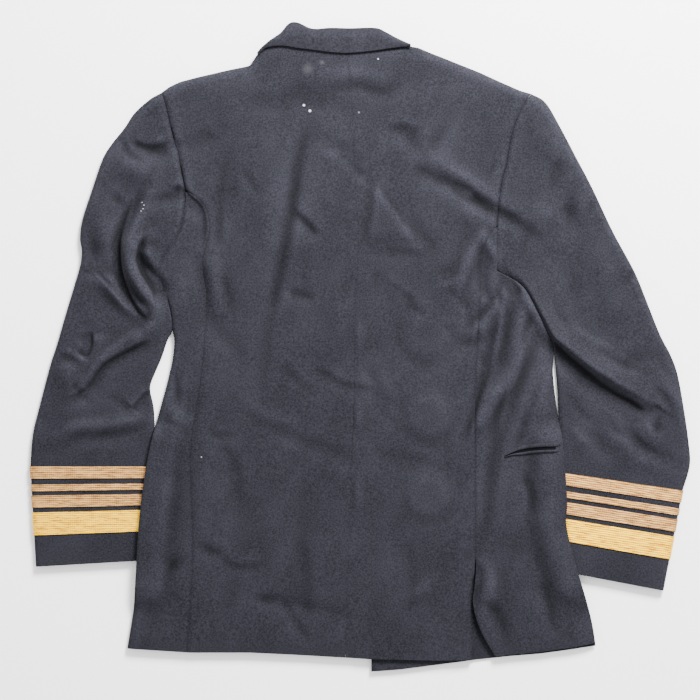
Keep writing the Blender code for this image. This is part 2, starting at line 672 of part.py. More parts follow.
# Sleeves and the lace round their cuffs
def sleeve_plan(side):
    """Grid of plan points down the sleeve, its parts across, and its cuff amounts."""
    left = side == "left"
    outline = left_outline if left else right_outline
    outer = LEFT_OUTER if left else RIGHT_OUTER
    inner = LEFT_INNER if left else RIGHT_INNER
    cuff = LEFT_CUFF if left else RIGHT_CUFF
    stations = body_rows(BODY_ROW)
    stations = stations[stations >= ARMHOLE_FOOT - 0.01]
    hole_x = line_at(outline, stations)
    hole = np.stack([hole_x, station_y(hole_x, stations)], axis=-1)
    steps = np.concatenate([[0], np.cumsum(np.hypot(*np.diff(hole, axis=0).T))])
    parts = set(np.round(steps / steps[-1], 6)) | {1 - round(p, 6) for p in edge_parts(SLEEVE_ROLL)}
    parts = np.array(sorted(parts))
    armhole = along(hole, parts)
    rows = len(spread(0, 460, SLEEVE_ROW))
    share = np.linspace(0, 1, rows)[:-1]
    outer_line = along(smooth_line(outer), share)
    inner_line = along(smooth_line(inner), share)
    outer_line = np.vstack([outer_line, along((cuff[0], cuff[2]), CUFF_PARTS)])
    inner_line = np.vstack([inner_line, along((cuff[1], cuff[3]), CUFF_PARTS)])
    across = outer_line[:, None] + (inner_line - outer_line)[:, None] * parts[None, :, None]
    straight = armhole[0] + (armhole[-1] - armhole[0]) * parts[:, None]
    bow = np.zeros(len(across))
    bow[: len(share)] = (1 - share) ** 2
    plan = across + bow[:, None, None] * (armhole - straight)[None]
    plan[0, :, 0] += (-1 if left else 1) * SEAM_GAP
    reach = np.zeros(len(across))
    reach[: len(share)] = ease((share - 0.86) / 0.12)
    reach[len(share):] = 1.0
    return plan, parts, reach


def cuff_base(x, y, cuff):
    """Height of the under sleeve: on the table, and a little above it over the stripes."""
    return CUFF_LIFT * cuff


def sleeve_sheet(side, up):
    """Outer points and wall offsets of the upper or the under sleeve."""
    plan, parts, reach = sleeve_plan(side)
    x, y = plan[..., 0], plan[..., 1]
    cuff = reach[:, None] + np.zeros_like(x)
    across = parts[None, :] + np.zeros_like(x)
    sign = 1 if up else -1
    z = sleeve_height(x, y, cuff) if up else cuff_base(x, y, cuff)
    for part in (across, 1 - across):
        z = rolled(z, EDGE_MIDDLE + 0.4 * cuff + sign * SEAM_GAP / 2, part, SLEEVE_ROLL)
    lean = np.maximum(edge_angle(across, SLEEVE_ROLL), edge_angle(1 - across, SLEEVE_ROLL))
    way = toward(plan, 1) * np.where(across < 0.5, 1.0, -1.0)[..., None]
    height = partial(sleeve_height, cuff=cuff) if up else partial(cuff_base, cuff=cuff)
    wall = inward(x, y, height, lean, way[..., 0], way[..., 1], up)
    return np.stack([x, y, z], axis=-1), wall


def make_sleeve(side):
    sheets = {}
    for name, up in (("top", True), ("under", False)):
        outer, wall = sleeve_sheet(side, up)
        arm_rows = len(outer) - len(CUFF_PARTS)
        count = outer.shape[1]
        columns = list(range(3)) + list(range(5, count - 4, 3)) + list(range(count - 3, count))
        across = slice(None) if up else columns
        sheets[name] = (outer[arm_rows:, across], wall[arm_rows:, across])
        if up:
            keep = np.zeros(outer.shape[:2], dtype=bool)
            keep[arm_rows:], keep[:, :3], keep[:, -3:] = True, True, True
            cloth(f"top_sleeve_{side}", outer, wall, True, wool, TOP_RATIO, keep)
        else:
            rows = list(range(9)) + list(range(9, arm_rows, 3)) + [arm_rows, len(outer) - 1]
            pick = np.ix_(rows, columns)
            chosen = outer[pick].copy()
            chosen[0, 1:-1, 0] += (-1 if side == "left" else 1) * UNDER_ARMHOLE_GAP
            cloth(f"under_sleeve_{side}", chosen, wall[pick], False, wool)
    for number, (row, colour) in enumerate(STRIPES, 1):
        make_stripe(f"stripe_{side}_{number}", sheets, row, tan_lace if colour == "tan" else gold_lace)


def make_stripe(name, sheets, row, material):
    """Lace round the cuff, from the cuff's own points moved out."""
    ring, walls = [], []
    for key, order in (("top", 1), ("under", -1)):
        outer, wall = sheets[key]
        outward = -wall / np.linalg.norm(wall, axis=-1, keepdims=True)
        points = outer[row:row + 2] + outward[row:row + 2] * (SEAM_GAP + LACE_WALL)
        ring.append(points[:, ::order])
        walls.append(-outward[row:row + 2, ::order] * LACE_WALL)
    ring = np.concatenate(ring + [ring[0][:, :1]], axis=1)
    walls = np.concatenate(walls + [walls[0][:, :1]], axis=1)
    cloth(name, ring, walls, True, material, closed=True)


# Collar, lapels, pocket and buttons
def collar_columns():
    line = smooth_line([(row[0], row[1]) for row in COLLAR], COLLAR_STEPS)
    edge = smooth_line([(row[0], row[2]) for row in COLLAR], COLLAR_STEPS)
    return line[:, 0], line[:, 1], edge[:, 1]


def make_collar():
    """The fall that lies on the back, and the stand behind it, which meet at the fold."""
    x_line, fold, edge = collar_columns()
    for name, up in (("collar_fall", True), ("collar_stand", False)):
        low = edge if up else top_y(x_line) + STAND_GAP
        room = fold - low > 3
        low = low[room]
        rolled_parts = [1 - COLLAR_ROLL, 1 - COLLAR_ROLL * 0.35, 1 - COLLAR_ROLL * 0.05, 1]
        parts = np.array([0, 0.25, 0.5] + rolled_parts)
        y = low[None, :] + (fold[room] - low)[None, :] * parts[:, None]
        x = x_line[room][None, :] + np.zeros_like(y)
        face = body_height(x, edge[room][None, :] + np.zeros_like(y)) + LAYER_GAP + COLLAR_WALL
        face = face + 0.8 * np.sin(np.pi * parts[:, None]) if up else face - 5.4
        apart = SEAM_GAP / 2 if up else -SEAM_GAP / 2
        middle = body_height(x, edge[room][None, :] + np.zeros_like(y)) - 0.3 + apart
        part = 1 - parts[:, None] + np.zeros_like(x)
        z = rolled(face, middle, part, COLLAR_ROLL)
        lean = edge_angle(part, COLLAR_ROLL)
        sink = COLLAR_WALL * np.sqrt(1 - lean**2)
        wall = np.stack([np.zeros_like(x), -COLLAR_WALL * 0.9 * lean, -sink if up else sink], axis=-1)
        cloth(name, np.stack([x, y, z], axis=-1), wall, up, wool)


def make_lapel(side):
    sign = -1 if side == "left" else 1
    neck = LEFT_NECK_POINT if side == "left" else RIGHT_NECK_POINT
    reach = np.linspace(LAPEL_STARTS[side], LAPEL_END, 12)[:, None]
    width = np.interp(reach, [w[0] for w in LAPEL_WIDTHS], [w[1] for w in LAPEL_WIDTHS])
    y = BREAK_HEIGHT + reach * (neck[1] - BREAK_HEIGHT) + np.zeros((1, 7))
    x = roll_line(side, y) + sign * (1.0 + width * np.linspace(0, 1, 7)[None, :])
    z = np.zeros_like(x) if side == "left" else right_lapel_base(x, y)
    wall = np.stack([np.zeros_like(x), np.zeros_like(x), np.full_like(x, WALL)], axis=-1)
    cloth(f"lapel_{side}", np.stack([x, y, z], axis=-1), wall, False, wool)


def make_pocket():
    """Two narrow jets above and below the pocket's slit."""
    line = smooth_line(RIGHT_POCKET, 3)
    near, far = POCKET_SLIT / 2, POCKET_SLIT / 2 + JET_WIDTH
    for name, edges in (("upper", (near, far)), ("lower", (-far, -near))):
        y = line[None, :, 1] + np.array(edges)[:, None]
        x = line[None, :, 0] + np.zeros_like(y)
        z = body_height(x, y) + JET_GAP + JET_WALL
        wall = np.stack([np.zeros_like(x), np.zeros_like(x), np.full_like(x, -JET_WALL)], axis=-1)
        cloth(f"pocket_jet_{name}", np.stack([x, y, z], axis=-1), wall, True, wool)


def make_buttons():
    number = 0
    for row in BUTTON_ROWS:
        for column in BUTTON_COLUMNS:
            number += 1
            bm = bmesh.new()
            radius = BUTTON_RADIUS * MM
            depth = BUTTON_THICKNESS * MM
            top = radius * BUTTON_TAPER
            bmesh.ops.create_cone(bm, cap_ends=True, segments=20, radius1=radius, radius2=top, depth=depth)
            bmesh.ops.translate(bm, verts=bm.verts, vec=(column * MM, row * MM, depth / 2))
            mesh = bpy.data.meshes.new(f"button_{number}")
            bm.to_mesh(mesh)
            bm.free()
            place(f"button_{number}", mesh, gilt)


def body_parts(step, width, rolls):
    """Places across a panel: even, and closer together at a rolled edge."""
    start_rolled = rolls == "start"
    end_rolled = rolls == "end"
    low = SIDE_ROLL if start_rolled else 0.0
    high = 1 - SIDE_ROLL if end_rolled else 1.0
    parts = spread(low, high, step / width)
    if start_rolled:
        parts = edge_parts(SIDE_ROLL) + parts
    if end_rolled:
        parts = parts + [1 - part for part in reversed(edge_parts(SIDE_ROLL))]
    return parts


def make_body():
    rows = body_rows(BODY_ROW)
    left_rows = rows[rows <= LEFT_SEAM[0][1]]
    right_rows = rows[rows <= RIGHT_SEAM[0][1]]
    across = BODY_COLUMN
    top = (body_height, True, wool, TOP_RATIO)
    panel("back_left", rows, (back_left_line, centre_seam), body_parts(across, 190, "none"), top, "none")
    panel("back_right", rows, (centre_seam, back_right_line), body_parts(across, 160, "none"), top, "none")
    outer_lines = (left_outline, back_left_line)
    panel("side_left", left_rows, outer_lines, body_parts(across, 60, "start"), top, "start")
    outer_lines = (vent_line, right_outline)
    panel("side_right", right_rows, outer_lines, body_parts(across, 90, "end"), top, "end")
    left_lines = (left_outline, roll_x("left"))
    right_lines = (roll_x("right"), right_outline)
    under = (left_front_base, False, wool, UNDER_RATIO)
    panel("front_left", rows, left_lines, body_parts(FRONT_COLUMN, 300, "start"), under, "start", under_hem)
    under = (right_front_base, False, wool, UNDER_RATIO)
    corner = y_of_x(RIGHT_CORNER)
    panel("front_right", rows, right_lines, body_parts(FRONT_COLUMN, 260, "end"), under, "end", corner)


for item in list(bpy.data.objects):
    bpy.data.objects.remove(item)
collection = bpy.data.collections.new("naval_officer_dress_jacket")
bpy.context.scene.collection.children.link(collection)
wool = finish("navy wool", 0.035, 0.037, 0.05, 0.85)
tan_lace = finish("tan gold lace", 0.36, 0.24, 0.15, 0.5, 0.3)
gold_lace = finish("yellow gold lace", 0.48, 0.33, 0.12, 0.45, 0.4)
gilt = finish("gilt brass", 0.75, 0.55, 0.22, 0.3, 1.0)
make_body()
make_sleeve("left")
make_sleeve("right")
make_collar()
make_lapel("left")
make_lapel("right")
make_pocket()
make_buttons()
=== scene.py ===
# Dress jacket laid on its front: cloth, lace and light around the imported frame.
import math

import bmesh
import bpy
import numpy as np
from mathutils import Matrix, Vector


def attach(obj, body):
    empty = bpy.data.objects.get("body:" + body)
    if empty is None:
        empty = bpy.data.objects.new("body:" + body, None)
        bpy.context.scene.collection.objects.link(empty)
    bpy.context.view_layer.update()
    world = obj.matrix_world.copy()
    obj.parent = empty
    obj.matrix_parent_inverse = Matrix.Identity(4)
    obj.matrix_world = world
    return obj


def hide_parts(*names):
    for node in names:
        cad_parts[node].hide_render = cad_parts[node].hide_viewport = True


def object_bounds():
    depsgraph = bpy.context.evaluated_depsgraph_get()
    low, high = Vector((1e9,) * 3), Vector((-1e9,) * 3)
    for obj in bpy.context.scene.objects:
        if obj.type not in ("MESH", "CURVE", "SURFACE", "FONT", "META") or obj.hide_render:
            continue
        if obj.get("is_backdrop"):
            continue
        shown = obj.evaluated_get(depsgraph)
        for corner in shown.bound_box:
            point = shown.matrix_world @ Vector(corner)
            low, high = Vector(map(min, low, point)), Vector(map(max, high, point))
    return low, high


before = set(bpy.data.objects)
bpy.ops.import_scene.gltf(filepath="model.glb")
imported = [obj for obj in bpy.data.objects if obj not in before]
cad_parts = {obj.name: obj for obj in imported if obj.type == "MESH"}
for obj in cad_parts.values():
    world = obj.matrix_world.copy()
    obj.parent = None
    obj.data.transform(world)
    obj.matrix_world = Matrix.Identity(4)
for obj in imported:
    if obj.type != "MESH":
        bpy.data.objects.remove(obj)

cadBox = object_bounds()
print("frame loaded:", len(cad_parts), "nodes")

mm = 0.001

# Sizes and heights are in millimetres unless a note says otherwise
clothWall = 2.0
laceWall = 1.0
seamGap = 0.08
layerGap = 1.0

# Heights of the outer faces above the table, and of the middle between two sheets at an edge
backHeight = 8.6
shoulderHeight = 11.0
edgeMiddle = 4.0
tuckLift = 9.6

# Stations down the body, as y before the top and the hem bend them, and the steps between points
topStation = 340.0
armholeFoot = 95.0
hemStation = -381.0
bodyStep = 2.6
frontStep = 7.0
stationSlack = 0.01
crossingRounds = 12
# Rolled edges: depth at the shoulder, part of a panel's width at its side, gap between its two sheets
edgeRoll = 9.0
sideRoll = 0.16
edgeGap = 0.6

# How creases and seams are found and given painted shade, with a painted highlight on crests, how deep seams
# dip, and how the cloth waves
paintedShadeLook = {"reach": 4, "depth": 2.2, "crestHighlight": -0.6, "seam": 0.3}
seamDip = {"side": 0.45, "centre": 0.1, "width": 3.0}
unevenness = {"height": 0.13, "waves": 14, "shortest": 24, "longest": 80, "seed": 7}

# Outline of the back: x, y
topLine = (
    (-249, 317), (-238, 325), (-225, 331), (-200, 337.5), (-163, 346), (-138, 351),
    (-127, 367), (-117, 376), (-104, 381), (-69, 380), (-13, 374), (24, 374), (60, 375),
    (72, 373), (99, 362.5), (124, 352.5), (149, 342.5), (174, 331), (199, 320), (213, 316),
)
hemLine = (
    (-292, -376), (-213, -381), (-138, -381), (-76, -384), (12, -389), (99, -391),
    (139, -390), (187, -384), (224, -380), (262, -375), (293, -369),
)
armholeLeft = (
    (-248, 317.5), (-243, 302), (-239, 284), (-233, 259), (-228, 246), (-225, 227),
    (-219, 196), (-218, 184), (-221, 165), (-226, 146), (-233, 132), (-242, 119),
    (-248, 108), (-252, 95),
)
armholeRight = (
    (213, 316), (204, 302), (195, 284), (189, 265), (185, 246), (182, 227),
    (177, 209), (174, 190), (172, 171), (170.5, 146), (170.5, 121), (170.5, 95),
)
sideLeftEdge = (
    (-252, 95), (-255.6, 83), (-250.4, 71), (-242.2, 58), (-237.2, 41), (-235, 22), (-232.4, 8),
    (-234.6, -16), (-241.4, -46), (-247, -66), (-263, -129), (-272, -185), (-277, -235),
    (-282, -316), (-292, -382),
)
sideRightEdge = (
    (170.5, 95), (194, 82.8), (206.6, 71.8), (219.2, 49.2), (231.6, 24.2), (240.6, 2), (240.8, -12),
    (240.4, -36), (244.5, -72), (246.6, -88), (252, -122), (257, -191), (256, -222), (268, -272),
    (287, -335), (295, -382),
)

# Seams of the back: x, y
centreSeamPoints = (
    (-19, 380), (-11, 309), (-5.5, 184), (-3, 134), (-7, 21), (-8, -60), (-13, -191), (-19, -392),
)
leftSeamPoints = (
    (-219, 196), (-201, 184), (-191, 169), (-188, 146), (-194, 121), (-197, 100), (-192, 59),
    (-195, 0), (-203, -66), (-211, -116), (-212, -166), (-209, -247), (-213, -329), (-217, -392),
)
rightSeamPoints = (
    (170.5, 152), (158, 134), (152, 109), (149, 59), (145.5, -4), (143, -66), (143, -260),
    (139, -291), (137, -316), (138, -354), (139, -392),
)
rightVentEdge = (
    (143, -260), (144, -275), (142, -300), (140, -318), (145, -341), (153, -360), (162, -376), (172, -392),
)

# Sleeves: x, y of the outer and inner edges from the armhole to the top of the first stripe
leftOuter = (
    (-248, 317.5), (-263, 309), (-282, 292), (-294, 274), (-311.5, 252), (-322, 234), (-335, 196),
    (-347, 159), (-350, 136), (-348, 121), (-349, 106), (-353, 90), (-368, 40), (-379, 2),
    (-386, -19), (-400, -72), (-409, -110), (-412, -149),
)
leftInner = (
    (-252, 95), (-255, 83), (-249.4, 71), (-241.2, 58), (-236.4, 41), (-234.4, 22), (-240.6, 8.8),
    (-248, -13), (-256.4, -32.5), (-262.5, -51), (-258.5, -72.5), (-257, -91), (-257, -149),
)
rightOuter = (
    (213, 316), (231, 305), (249, 275), (269, 237), (289, 199), (315, 144), (342, 94),
    (358, 55), (374, 15), (387, -10), (396, -35), (404, -79), (410, -122), (411, -148), (402, -179),
)
rightInner = (
    (170.5, 95), (193, 82.5), (205.5, 71.5), (218, 49), (230.5, 24), (240.5, 2), (241.8, -12),
    (244.6, -40), (247, -85), (247, -156),
)
# Cuffs: x, y of the outer and inner edges at the first stripe and at the cuff's end
leftCuff = ((-412, -149), (-257, -149), (-405, -274), (-268, -266))
rightCuff = ((402, -179), (247, -156), (378, -304), (258, -281))
# Parts of the way down the cuff: each stripe's top and foot, then the crease and the end
cuffParts = (0, 0.12, 0.18, 0.245, 0.29, 0.41, 0.46, 0.685, 0.85, 1)
stripeTable = ((0, "tan"), (2, "tan"), (4, "tan"), (6, "gold"))

# Collar: x, y of its fold, y of its outer edge
collarTable = (
    (-128.5, 367, 362), (-124, 372.5, 367), (-119, 377, 371.5), (-113, 382, 373.5),
    (-100, 391, 375), (-89, 403, 374), (-78, 404, 372), (-60, 396.5, 370), (-38, 397.5, 367),
    (-13, 397, 366), (18, 397.5, 369), (31, 392.5, 371), (43, 386, 372.5), (58, 379, 374),
    (70, 375, 373), (74, 373.6, 372),
)

# Fronts, hidden under the back: edge, where the collar's roll meets the neck, start of the lapel
fronts = {
    "left": {"edge": 110.0, "neck": (-112.0, 352.0), "lapelStart": 0.05},
    "right": {"edge": 13.5, "neck": (62.0, 352.0), "lapelStart": 0.42},
}
breakHeight = 45.0
rollPast = 1.1
frontHemInset = 4.0
# How far a front's cover reaches past its edge before it fades, and over what width
frontCover = {"reach": 36, "fade": 22}
rightFrontHem = (
    (13, -405), (49, -402.5), (99, -396), (139, -391), (187, -386), (224, -383), (262, -378), (293, -373),
)
# Lapel: part of the way from the break to the neck, width
lapelWidths = ((0.05, 10), (0.3, 48), (0.6, 82), (0.8, 98), (0.93, 88), (1.0, 52))
# The lapel's cover: share of its width, reach past it, fade, how early it starts and over what part
lapelMargin = {"width": 1.25, "reach": 34, "fade": 22, "early": 0.19, "start": 0.1}
# Buttons under the cloth, and how far they lift it
button = {"thickness": 2.2, "columns": (84.0, -26.0), "rows": (15.0, -85.0, -185.0), "reach": 42, "fade": 26}

# Folds: height, width to its left, width to its right, points along it.
# A trough has a height below nothing. Widths are seen walking from the first point.
sleeveFolds = (
    (-3.0, 9, 9, ((-279, 256), (-263, 249), (-251, 243), (-234, 244))),
    (5.0, 16, 16, ((-300, 232), (-280, 222), (-262, 214))),
    (-4.0, 9, 7, ((-276, 186), (-286, 165), (-303, 134), (-303, 109), (-301, 84), (-282, 49))),
    (8.5, 13, 8, (
        (-264, 188), (-276, 160), (-287, 134), (-290, 111), (-284, 88), (-270, 65), (-258, 42),
        (-264, 22), (-278, 9),
    )),
    (-3.0, 8, 8, ((-263, 184), (-238, 186), (-223, 191))),
    (5.5, 8, 8, ((-262, 141), (-267, 127), (-264, 112), (-258, 101))),
    (-6.0, 8, 8, ((-274, 108), (-262, 90), (-251, 77), (-246, 63))),
    (6.0, 9, 14, ((-326, 88), (-308, 72), (-290, 50), (-272, 38))),
    (-3.5, 9, 9, ((-326, 78), (-311, 58), (-296, 44), (-276, 28))),
    (4.0, 16, 16, ((-333, 182), (-322, 150), (-318, 120))),
    (-2.5, 8, 8, ((-335, 136), (-333, 108))),
    (6.0, 15, 8, ((-272, 22), (-298, 4), (-316, -12), (-330, -30), (-346, -44))),
    (-3.5, 9, 9, ((-274, 6), (-301, -10), (-322, -28), (-338, -50), (-366, -66))),
    (-3.5, 8, 8, ((-338, 22), (-336, 2), (-344, -16), (-366, -12))),
    (4.5, 14, 14, ((-374, -18), (-366, -34), (-364, -52))),
    (-2.0, 9, 9, ((-266, -47), (-276, -66), (-287, -79))),
    (4.5, 14, 9, ((-270, -92), (-290, -94), (-326, -100), (-356, -103), (-392, -120))),
    (-3.5, 10, 10, ((-266, -76), (-276, -98), (-301, -110), (-351, -115), (-394, -134))),
    (2.0, 16, 16, ((-300, -128), (-350, -134))),
    (-1.5, 10, 10, ((-382, -262), (-350, -258), (-320, -258))),
    (3.5, 16, 16, ((226, 276), (240, 250), (262, 222))),
    (-3.0, 10, 10, ((249, 234), (243, 215), (237, 184))),
    (3.5, 14, 14, ((268, 200), (276, 176), (280, 150))),
    (-3.0, 9, 9, ((253, 177), (259, 165), (258, 146))),
    (3.0, 16, 16, ((208, 172), (226, 166), (240, 168))),
    (-2.5, 11, 11, ((256, 102), (268, 52))),
    (3.5, 18, 18, ((300, 110), (310, 66), (320, 30))),
    (9.0, 26, 7, (
        (206, 62), (228, 30), (243, 12), (262, -3), (282, -20), (301, -32), (320, -44), (340, -54),
        (362, -68),
    )),
    (-3.5, 8, 14, ((216, 36), (238, -4), (262, -20), (281, -40), (299, -52), (318, -66), (350, -86))),
    (-2.0, 10, 10, ((324, -20), (356, -14))),
    (3.5, 9, 14, ((368, -29), (381, -47), (393, -66), (404, -88))),
    (4.0, 9, 9, ((352, -88), (360, -104), (366, -118))),
    (-3.0, 7, 7, ((372, -92), (366, -112))),
    (-3.5, 9, 9, ((331, -91), (339, -110), (352, -126), (381, -141), (405, -150))),
    (3.0, 14, 14, ((318, -104), (326, -122), (342, -140), (372, -152))),
    (-2.5, 10, 10, ((290, -112), (312, -140))),
    (2.0, 12, 12, ((268, -110), (290, -138))),
)
bodyFolds = (
    (-2.5, 8, 8, ((-217, 181), (-207, 175), (-198, 169))),
    (4.0, 10, 16, ((-182, 116), (-180, 84), (-177, 50))),
    (-3.0, 9, 8, ((-201, 106), (-196, 84), (-190, 40))),
    (3.5, 16, 16, ((-228, 96), (-222, 60), (-216, 20))),
    (3.5, 11, 11, ((-240, -70), (-230, -84), (-220, -92))),
    (-2.5, 7, 7, ((-247, -93), (-238, -105), (-219, -104))),
    (-2.0, 14, 10, ((-200, -29), (-208, -72), (-214, -114))),
    (2.5, 26, 26, ((-185, -50), (-192, -120), (-192, -200))),
    (2.5, 24, 24, ((-200, 300), (-150, 322), (-100, 330))),
    (-2.0, 12, 12, ((-144, 309), (-101, 302), (-82, 313), (-63, 305), (-26, 301))),
    (2.5, 14, 14, ((-60, 338), (-13, 340), (30, 338))),
    (-2.0, 9, 9, ((-32, 321), (-1, 325), (24, 317), (39, 321), (49, 334))),
    (2.0, 22, 22, ((60, 310), (110, 318), (160, 300))),
    (-1.8, 9, 9, ((43, 277), (62, 259), (74, 246))),
    (-1.8, 9, 9, ((112, 284), (93, 259), (84, 246))),
    (-2.5, 9, 12, ((-56, 271), (-72, 234), (-79, 202), (-91, 134), (-103, 71), (-116, 21), (-119, -39))),
    (2.0, 18, 18, ((-100, 250), (-108, 190), (-118, 120), (-132, 60))),
    (2.0, 22, 22, ((-30, 280), (-46, 200), (-58, 120), (-66, 60))),
    (-1.8, 10, 10, ((-51, 259), (-19, 244), (12, 206))),
    (-2.0, 11, 11, ((-168, 234), (-164, 209), (-168, 159))),
    (-2.0, 12, 12, ((-169, 271), (-201, 258), (-226, 250))),
    (-1.8, 10, 10, ((62, 165), (81, 134), (93, 121))),
    (3.5, 14, 9, ((92, 234), (118, 218), (143, 201), (164, 184), (190, 172))),
    (-3.2, 9, 10, ((87, 221), (124, 199), (158, 174), (187, 161), (218, 138), (249, 124))),
    (3.0, 12, 20, ((110, 188), (140, 166), (166, 148))),
    (-1.6, 11, 11, ((77, 96), (76, 71), (69, 27))),
    (-1.6, 11, 11, ((12, 96), (37, 52), (46, 21), (56, 5), (77, -16), (81, -41))),
    (-1.6, 11, 11, ((-194, 40), (-169, 12), (-148, -14))),
    (-1.6, 10, 10, ((-107, -101), (-76, -116), (-32, -131), (-4, -147))),
    (-1.6, 10, 10, ((43, -137), (74, -145), (102, -156))),
    (1.8, 18, 18, ((-34, 70), (-24, 40), (-20, 10))),
    (-1.8, 10, 10, ((74, -104), (93, -106), (118, -89), (149, -72))),
    (4.5, 8, 8, ((152, 140), (137, 115), (127, 90), (118, 59))),
    (3.5, 7, 7, ((154, 138), (163, 121), (167, 106))),
    (-3.5, 8, 8, ((151, 120), (151, 96), (154, 71), (166, 62))),
    (-4.5, 11, 11, ((172, 90), (190, 74), (198, 62))),
    (4.5, 9, 10, ((172, 62), (168, 40), (158, 24), (140, 18))),
    (-4.5, 10, 9, ((190, 66), (186, 48), (181, 21), (173, -10), (160, -37), (145, -72))),
    (6.0, 8, 11, ((208, 52), (198, 15), (193, -16), (180, -47), (163, -72), (150, -95))),
    (-4.0, 11, 11, ((224, 21), (212, -16), (199, -47), (180, -97), (166, -141), (158, -204), (146, -250))),
    (3.5, 14, 20, ((226, -20), (214, -60), (202, -96))),
    (3.0, 26, 26, ((200, -170), (196, -210), (186, -250))),
    (-2.0, 20, 20, ((-222, -150), (-222, -235))),
    (-1.6, 22, 22, ((-163, -147), (-147, -204), (-132, -279))),
    (1.8, 24, 24, ((-118, -170), (-112, -230), (-104, -290))),
    (-1.6, 18, 18, ((-76, -166), (-78, -266), (-76, -316))),
    (2.0, 26, 26, ((-42, -190), (-44, -260), (-46, -330))),
    (1.8, 26, 26, ((48, -200), (44, -280), (40, -350))),
    (-1.5, 9, 9, ((-128, -312), (-76, -321), (-19, -335))),
    (-1.5, 12, 12, ((-157, -279), (-167, -347))),
    (-2.5, 8, 8, ((-201, -249), (-173, -261))),
    (-2.5, 9, 9, ((-219, -266), (-251, -281))),
    (-2.5, 8, 8, ((143, -260), (124, -264), (112, -272), (93, -295))),
    (3.5, 10, 10, ((158, -276), (160, -300), (156, -322))),
    (-2.5, 9, 9, ((152, -320), (170, -332), (184, -366))),
    (2.5, 20, 20, ((210, -300), (216, -330), (222, -360))),
)

# Smaller creases, in the same columns
smallFolds = (
    (-1.6, 5, 5, ((-244, 255), (-233, 252), (-222, 253))),
    (-1.8, 5, 5, ((-300, 262), (-288, 240), (-270, 232))),
    (-1.8, 5, 6, ((-309, 190), (-298, 176))),
    (2.2, 6, 6, ((-286, 128), (-278, 120), (-268, 118))),
    (-2.0, 5, 5, ((-276, 110), (-270, 122), (-258, 130))),
    (-2.4, 5, 5, ((-290, 84), (-276, 62), (-262, 48), (-266, 34))),
    (2.0, 5, 5, ((-322, 92), (-312, 84), (-302, 82))),
    (-1.6, 5, 5, ((-348, 96), (-336, 92), (-328, 84))),
    (1.8, 5, 5, ((-372, -4), (-356, -10), (-344, -18))),
    (-1.6, 5, 5, ((-360, -40), (-350, -58), (-338, -66))),
    (-1.2, 6, 6, ((-320, -60), (-300, -70), (-284, -84))),
    (1.4, 6, 6, ((-300, -86), (-340, -92), (-372, -100))),
    (-1.0, 6, 6, ((-392, -100), (-396, -80))),
    (-1.4, 5, 5, ((-232, -29), (-228, -54), (-229, -72))),
    (-1.0, 6, 6, ((-188, -106), (-176, -112), (-160, -110))),
    (-1.1, 6, 6, ((-147, 221), (-139, 208), (-131, 196))),
    (-1.1, 7, 7, ((-82, 167), (-66, 152), (-51, 136))),
    (1.1, 7, 7, ((-44, 240), (-20, 228), (0, 208))),
    (-1.0, 6, 6, ((24, 115), (50, 117), (77, 117))),
    (-1.1, 6, 6, ((-88, 71), (-72, 69), (-57, 69))),
    (-1.2, 6, 6, ((109, 4), (126, 5), (143, 4))),
    (-1.2, 6, 6, ((87, 52), (104, 57), (118, 64))),
    (1.2, 7, 7, ((84, 66), (104, 76), (126, 82))),
    (-1.0, 7, 7, ((-101, -22), (-86, -36), (-69, -51))),
    (-1.1, 6, 6, ((16, -60), (28, -82), (43, -97))),
    (1.0, 8, 8, ((20, -20), (34, -54), (50, -84))),
    (-1.4, 5, 5, ((181, 112), (178, 96), (176, 84))),
    (2.2, 5, 5, ((166, 66), (172, 50), (170, 30))),
    (-2.0, 5, 5, ((174, 77), (166, 60), (150, 40), (137, 27))),
    (-1.6, 5, 5, ((150, -8), (158, -28), (150, -46))),
    (-1.6, 6, 6, ((212, 150), (204, 132), (200, 112))),
    (-1.4, 6, 6, ((240, 60), (246, 40), (262, 22))),
    (1.6, 6, 6, ((262, 26), (286, 10), (312, -4))),
    (-1.6, 5, 5, ((300, -6), (326, -22), (352, -30))),
    (-1.6, 5, 5, ((368, -52), (380, -64), (388, -84))),
    (1.6, 5, 5, ((344, -100), (352, -114), (364, -124))),
    (-1.4, 5, 5, ((310, -90), (318, -104), (330, -112))),
    (-1.3, 6, 6, ((264, -66), (276, -84), (290, -96))),
    (1.2, 6, 6, ((258, -96), (274, -112), (292, -124))),
    (-1.4, 5, 5, ((346, 96), (336, 88), (330, 78))),
    (-1.2, 6, 6, ((296, 184), (288, 176), (282, 164))),
    (-1.2, 6, 6, ((-128, -312), (-118, -316), (-107, -315))),
    (-1.2, 6, 6, ((-94, -322), (-80, -344), (-66, -366))),
    (-1.4, 6, 6, ((204, -160), (212, -180), (214, -206))),
    (-1.2, 6, 6, ((228, -300), (236, -324), (240, -350))),
    (-1.4, 5, 5, ((143, -270), (152, -285), (147, -304), (139, -316))),
    (1.4, 8, 8, ((100, -280), (80, -300), (60, -312))),
    (-1.0, 8, 8, ((-180, 96), (-166, 70), (-160, 40))),
    (1.0, 9, 9, ((-150, -60), (-120, -84), (-84, -96))),
)

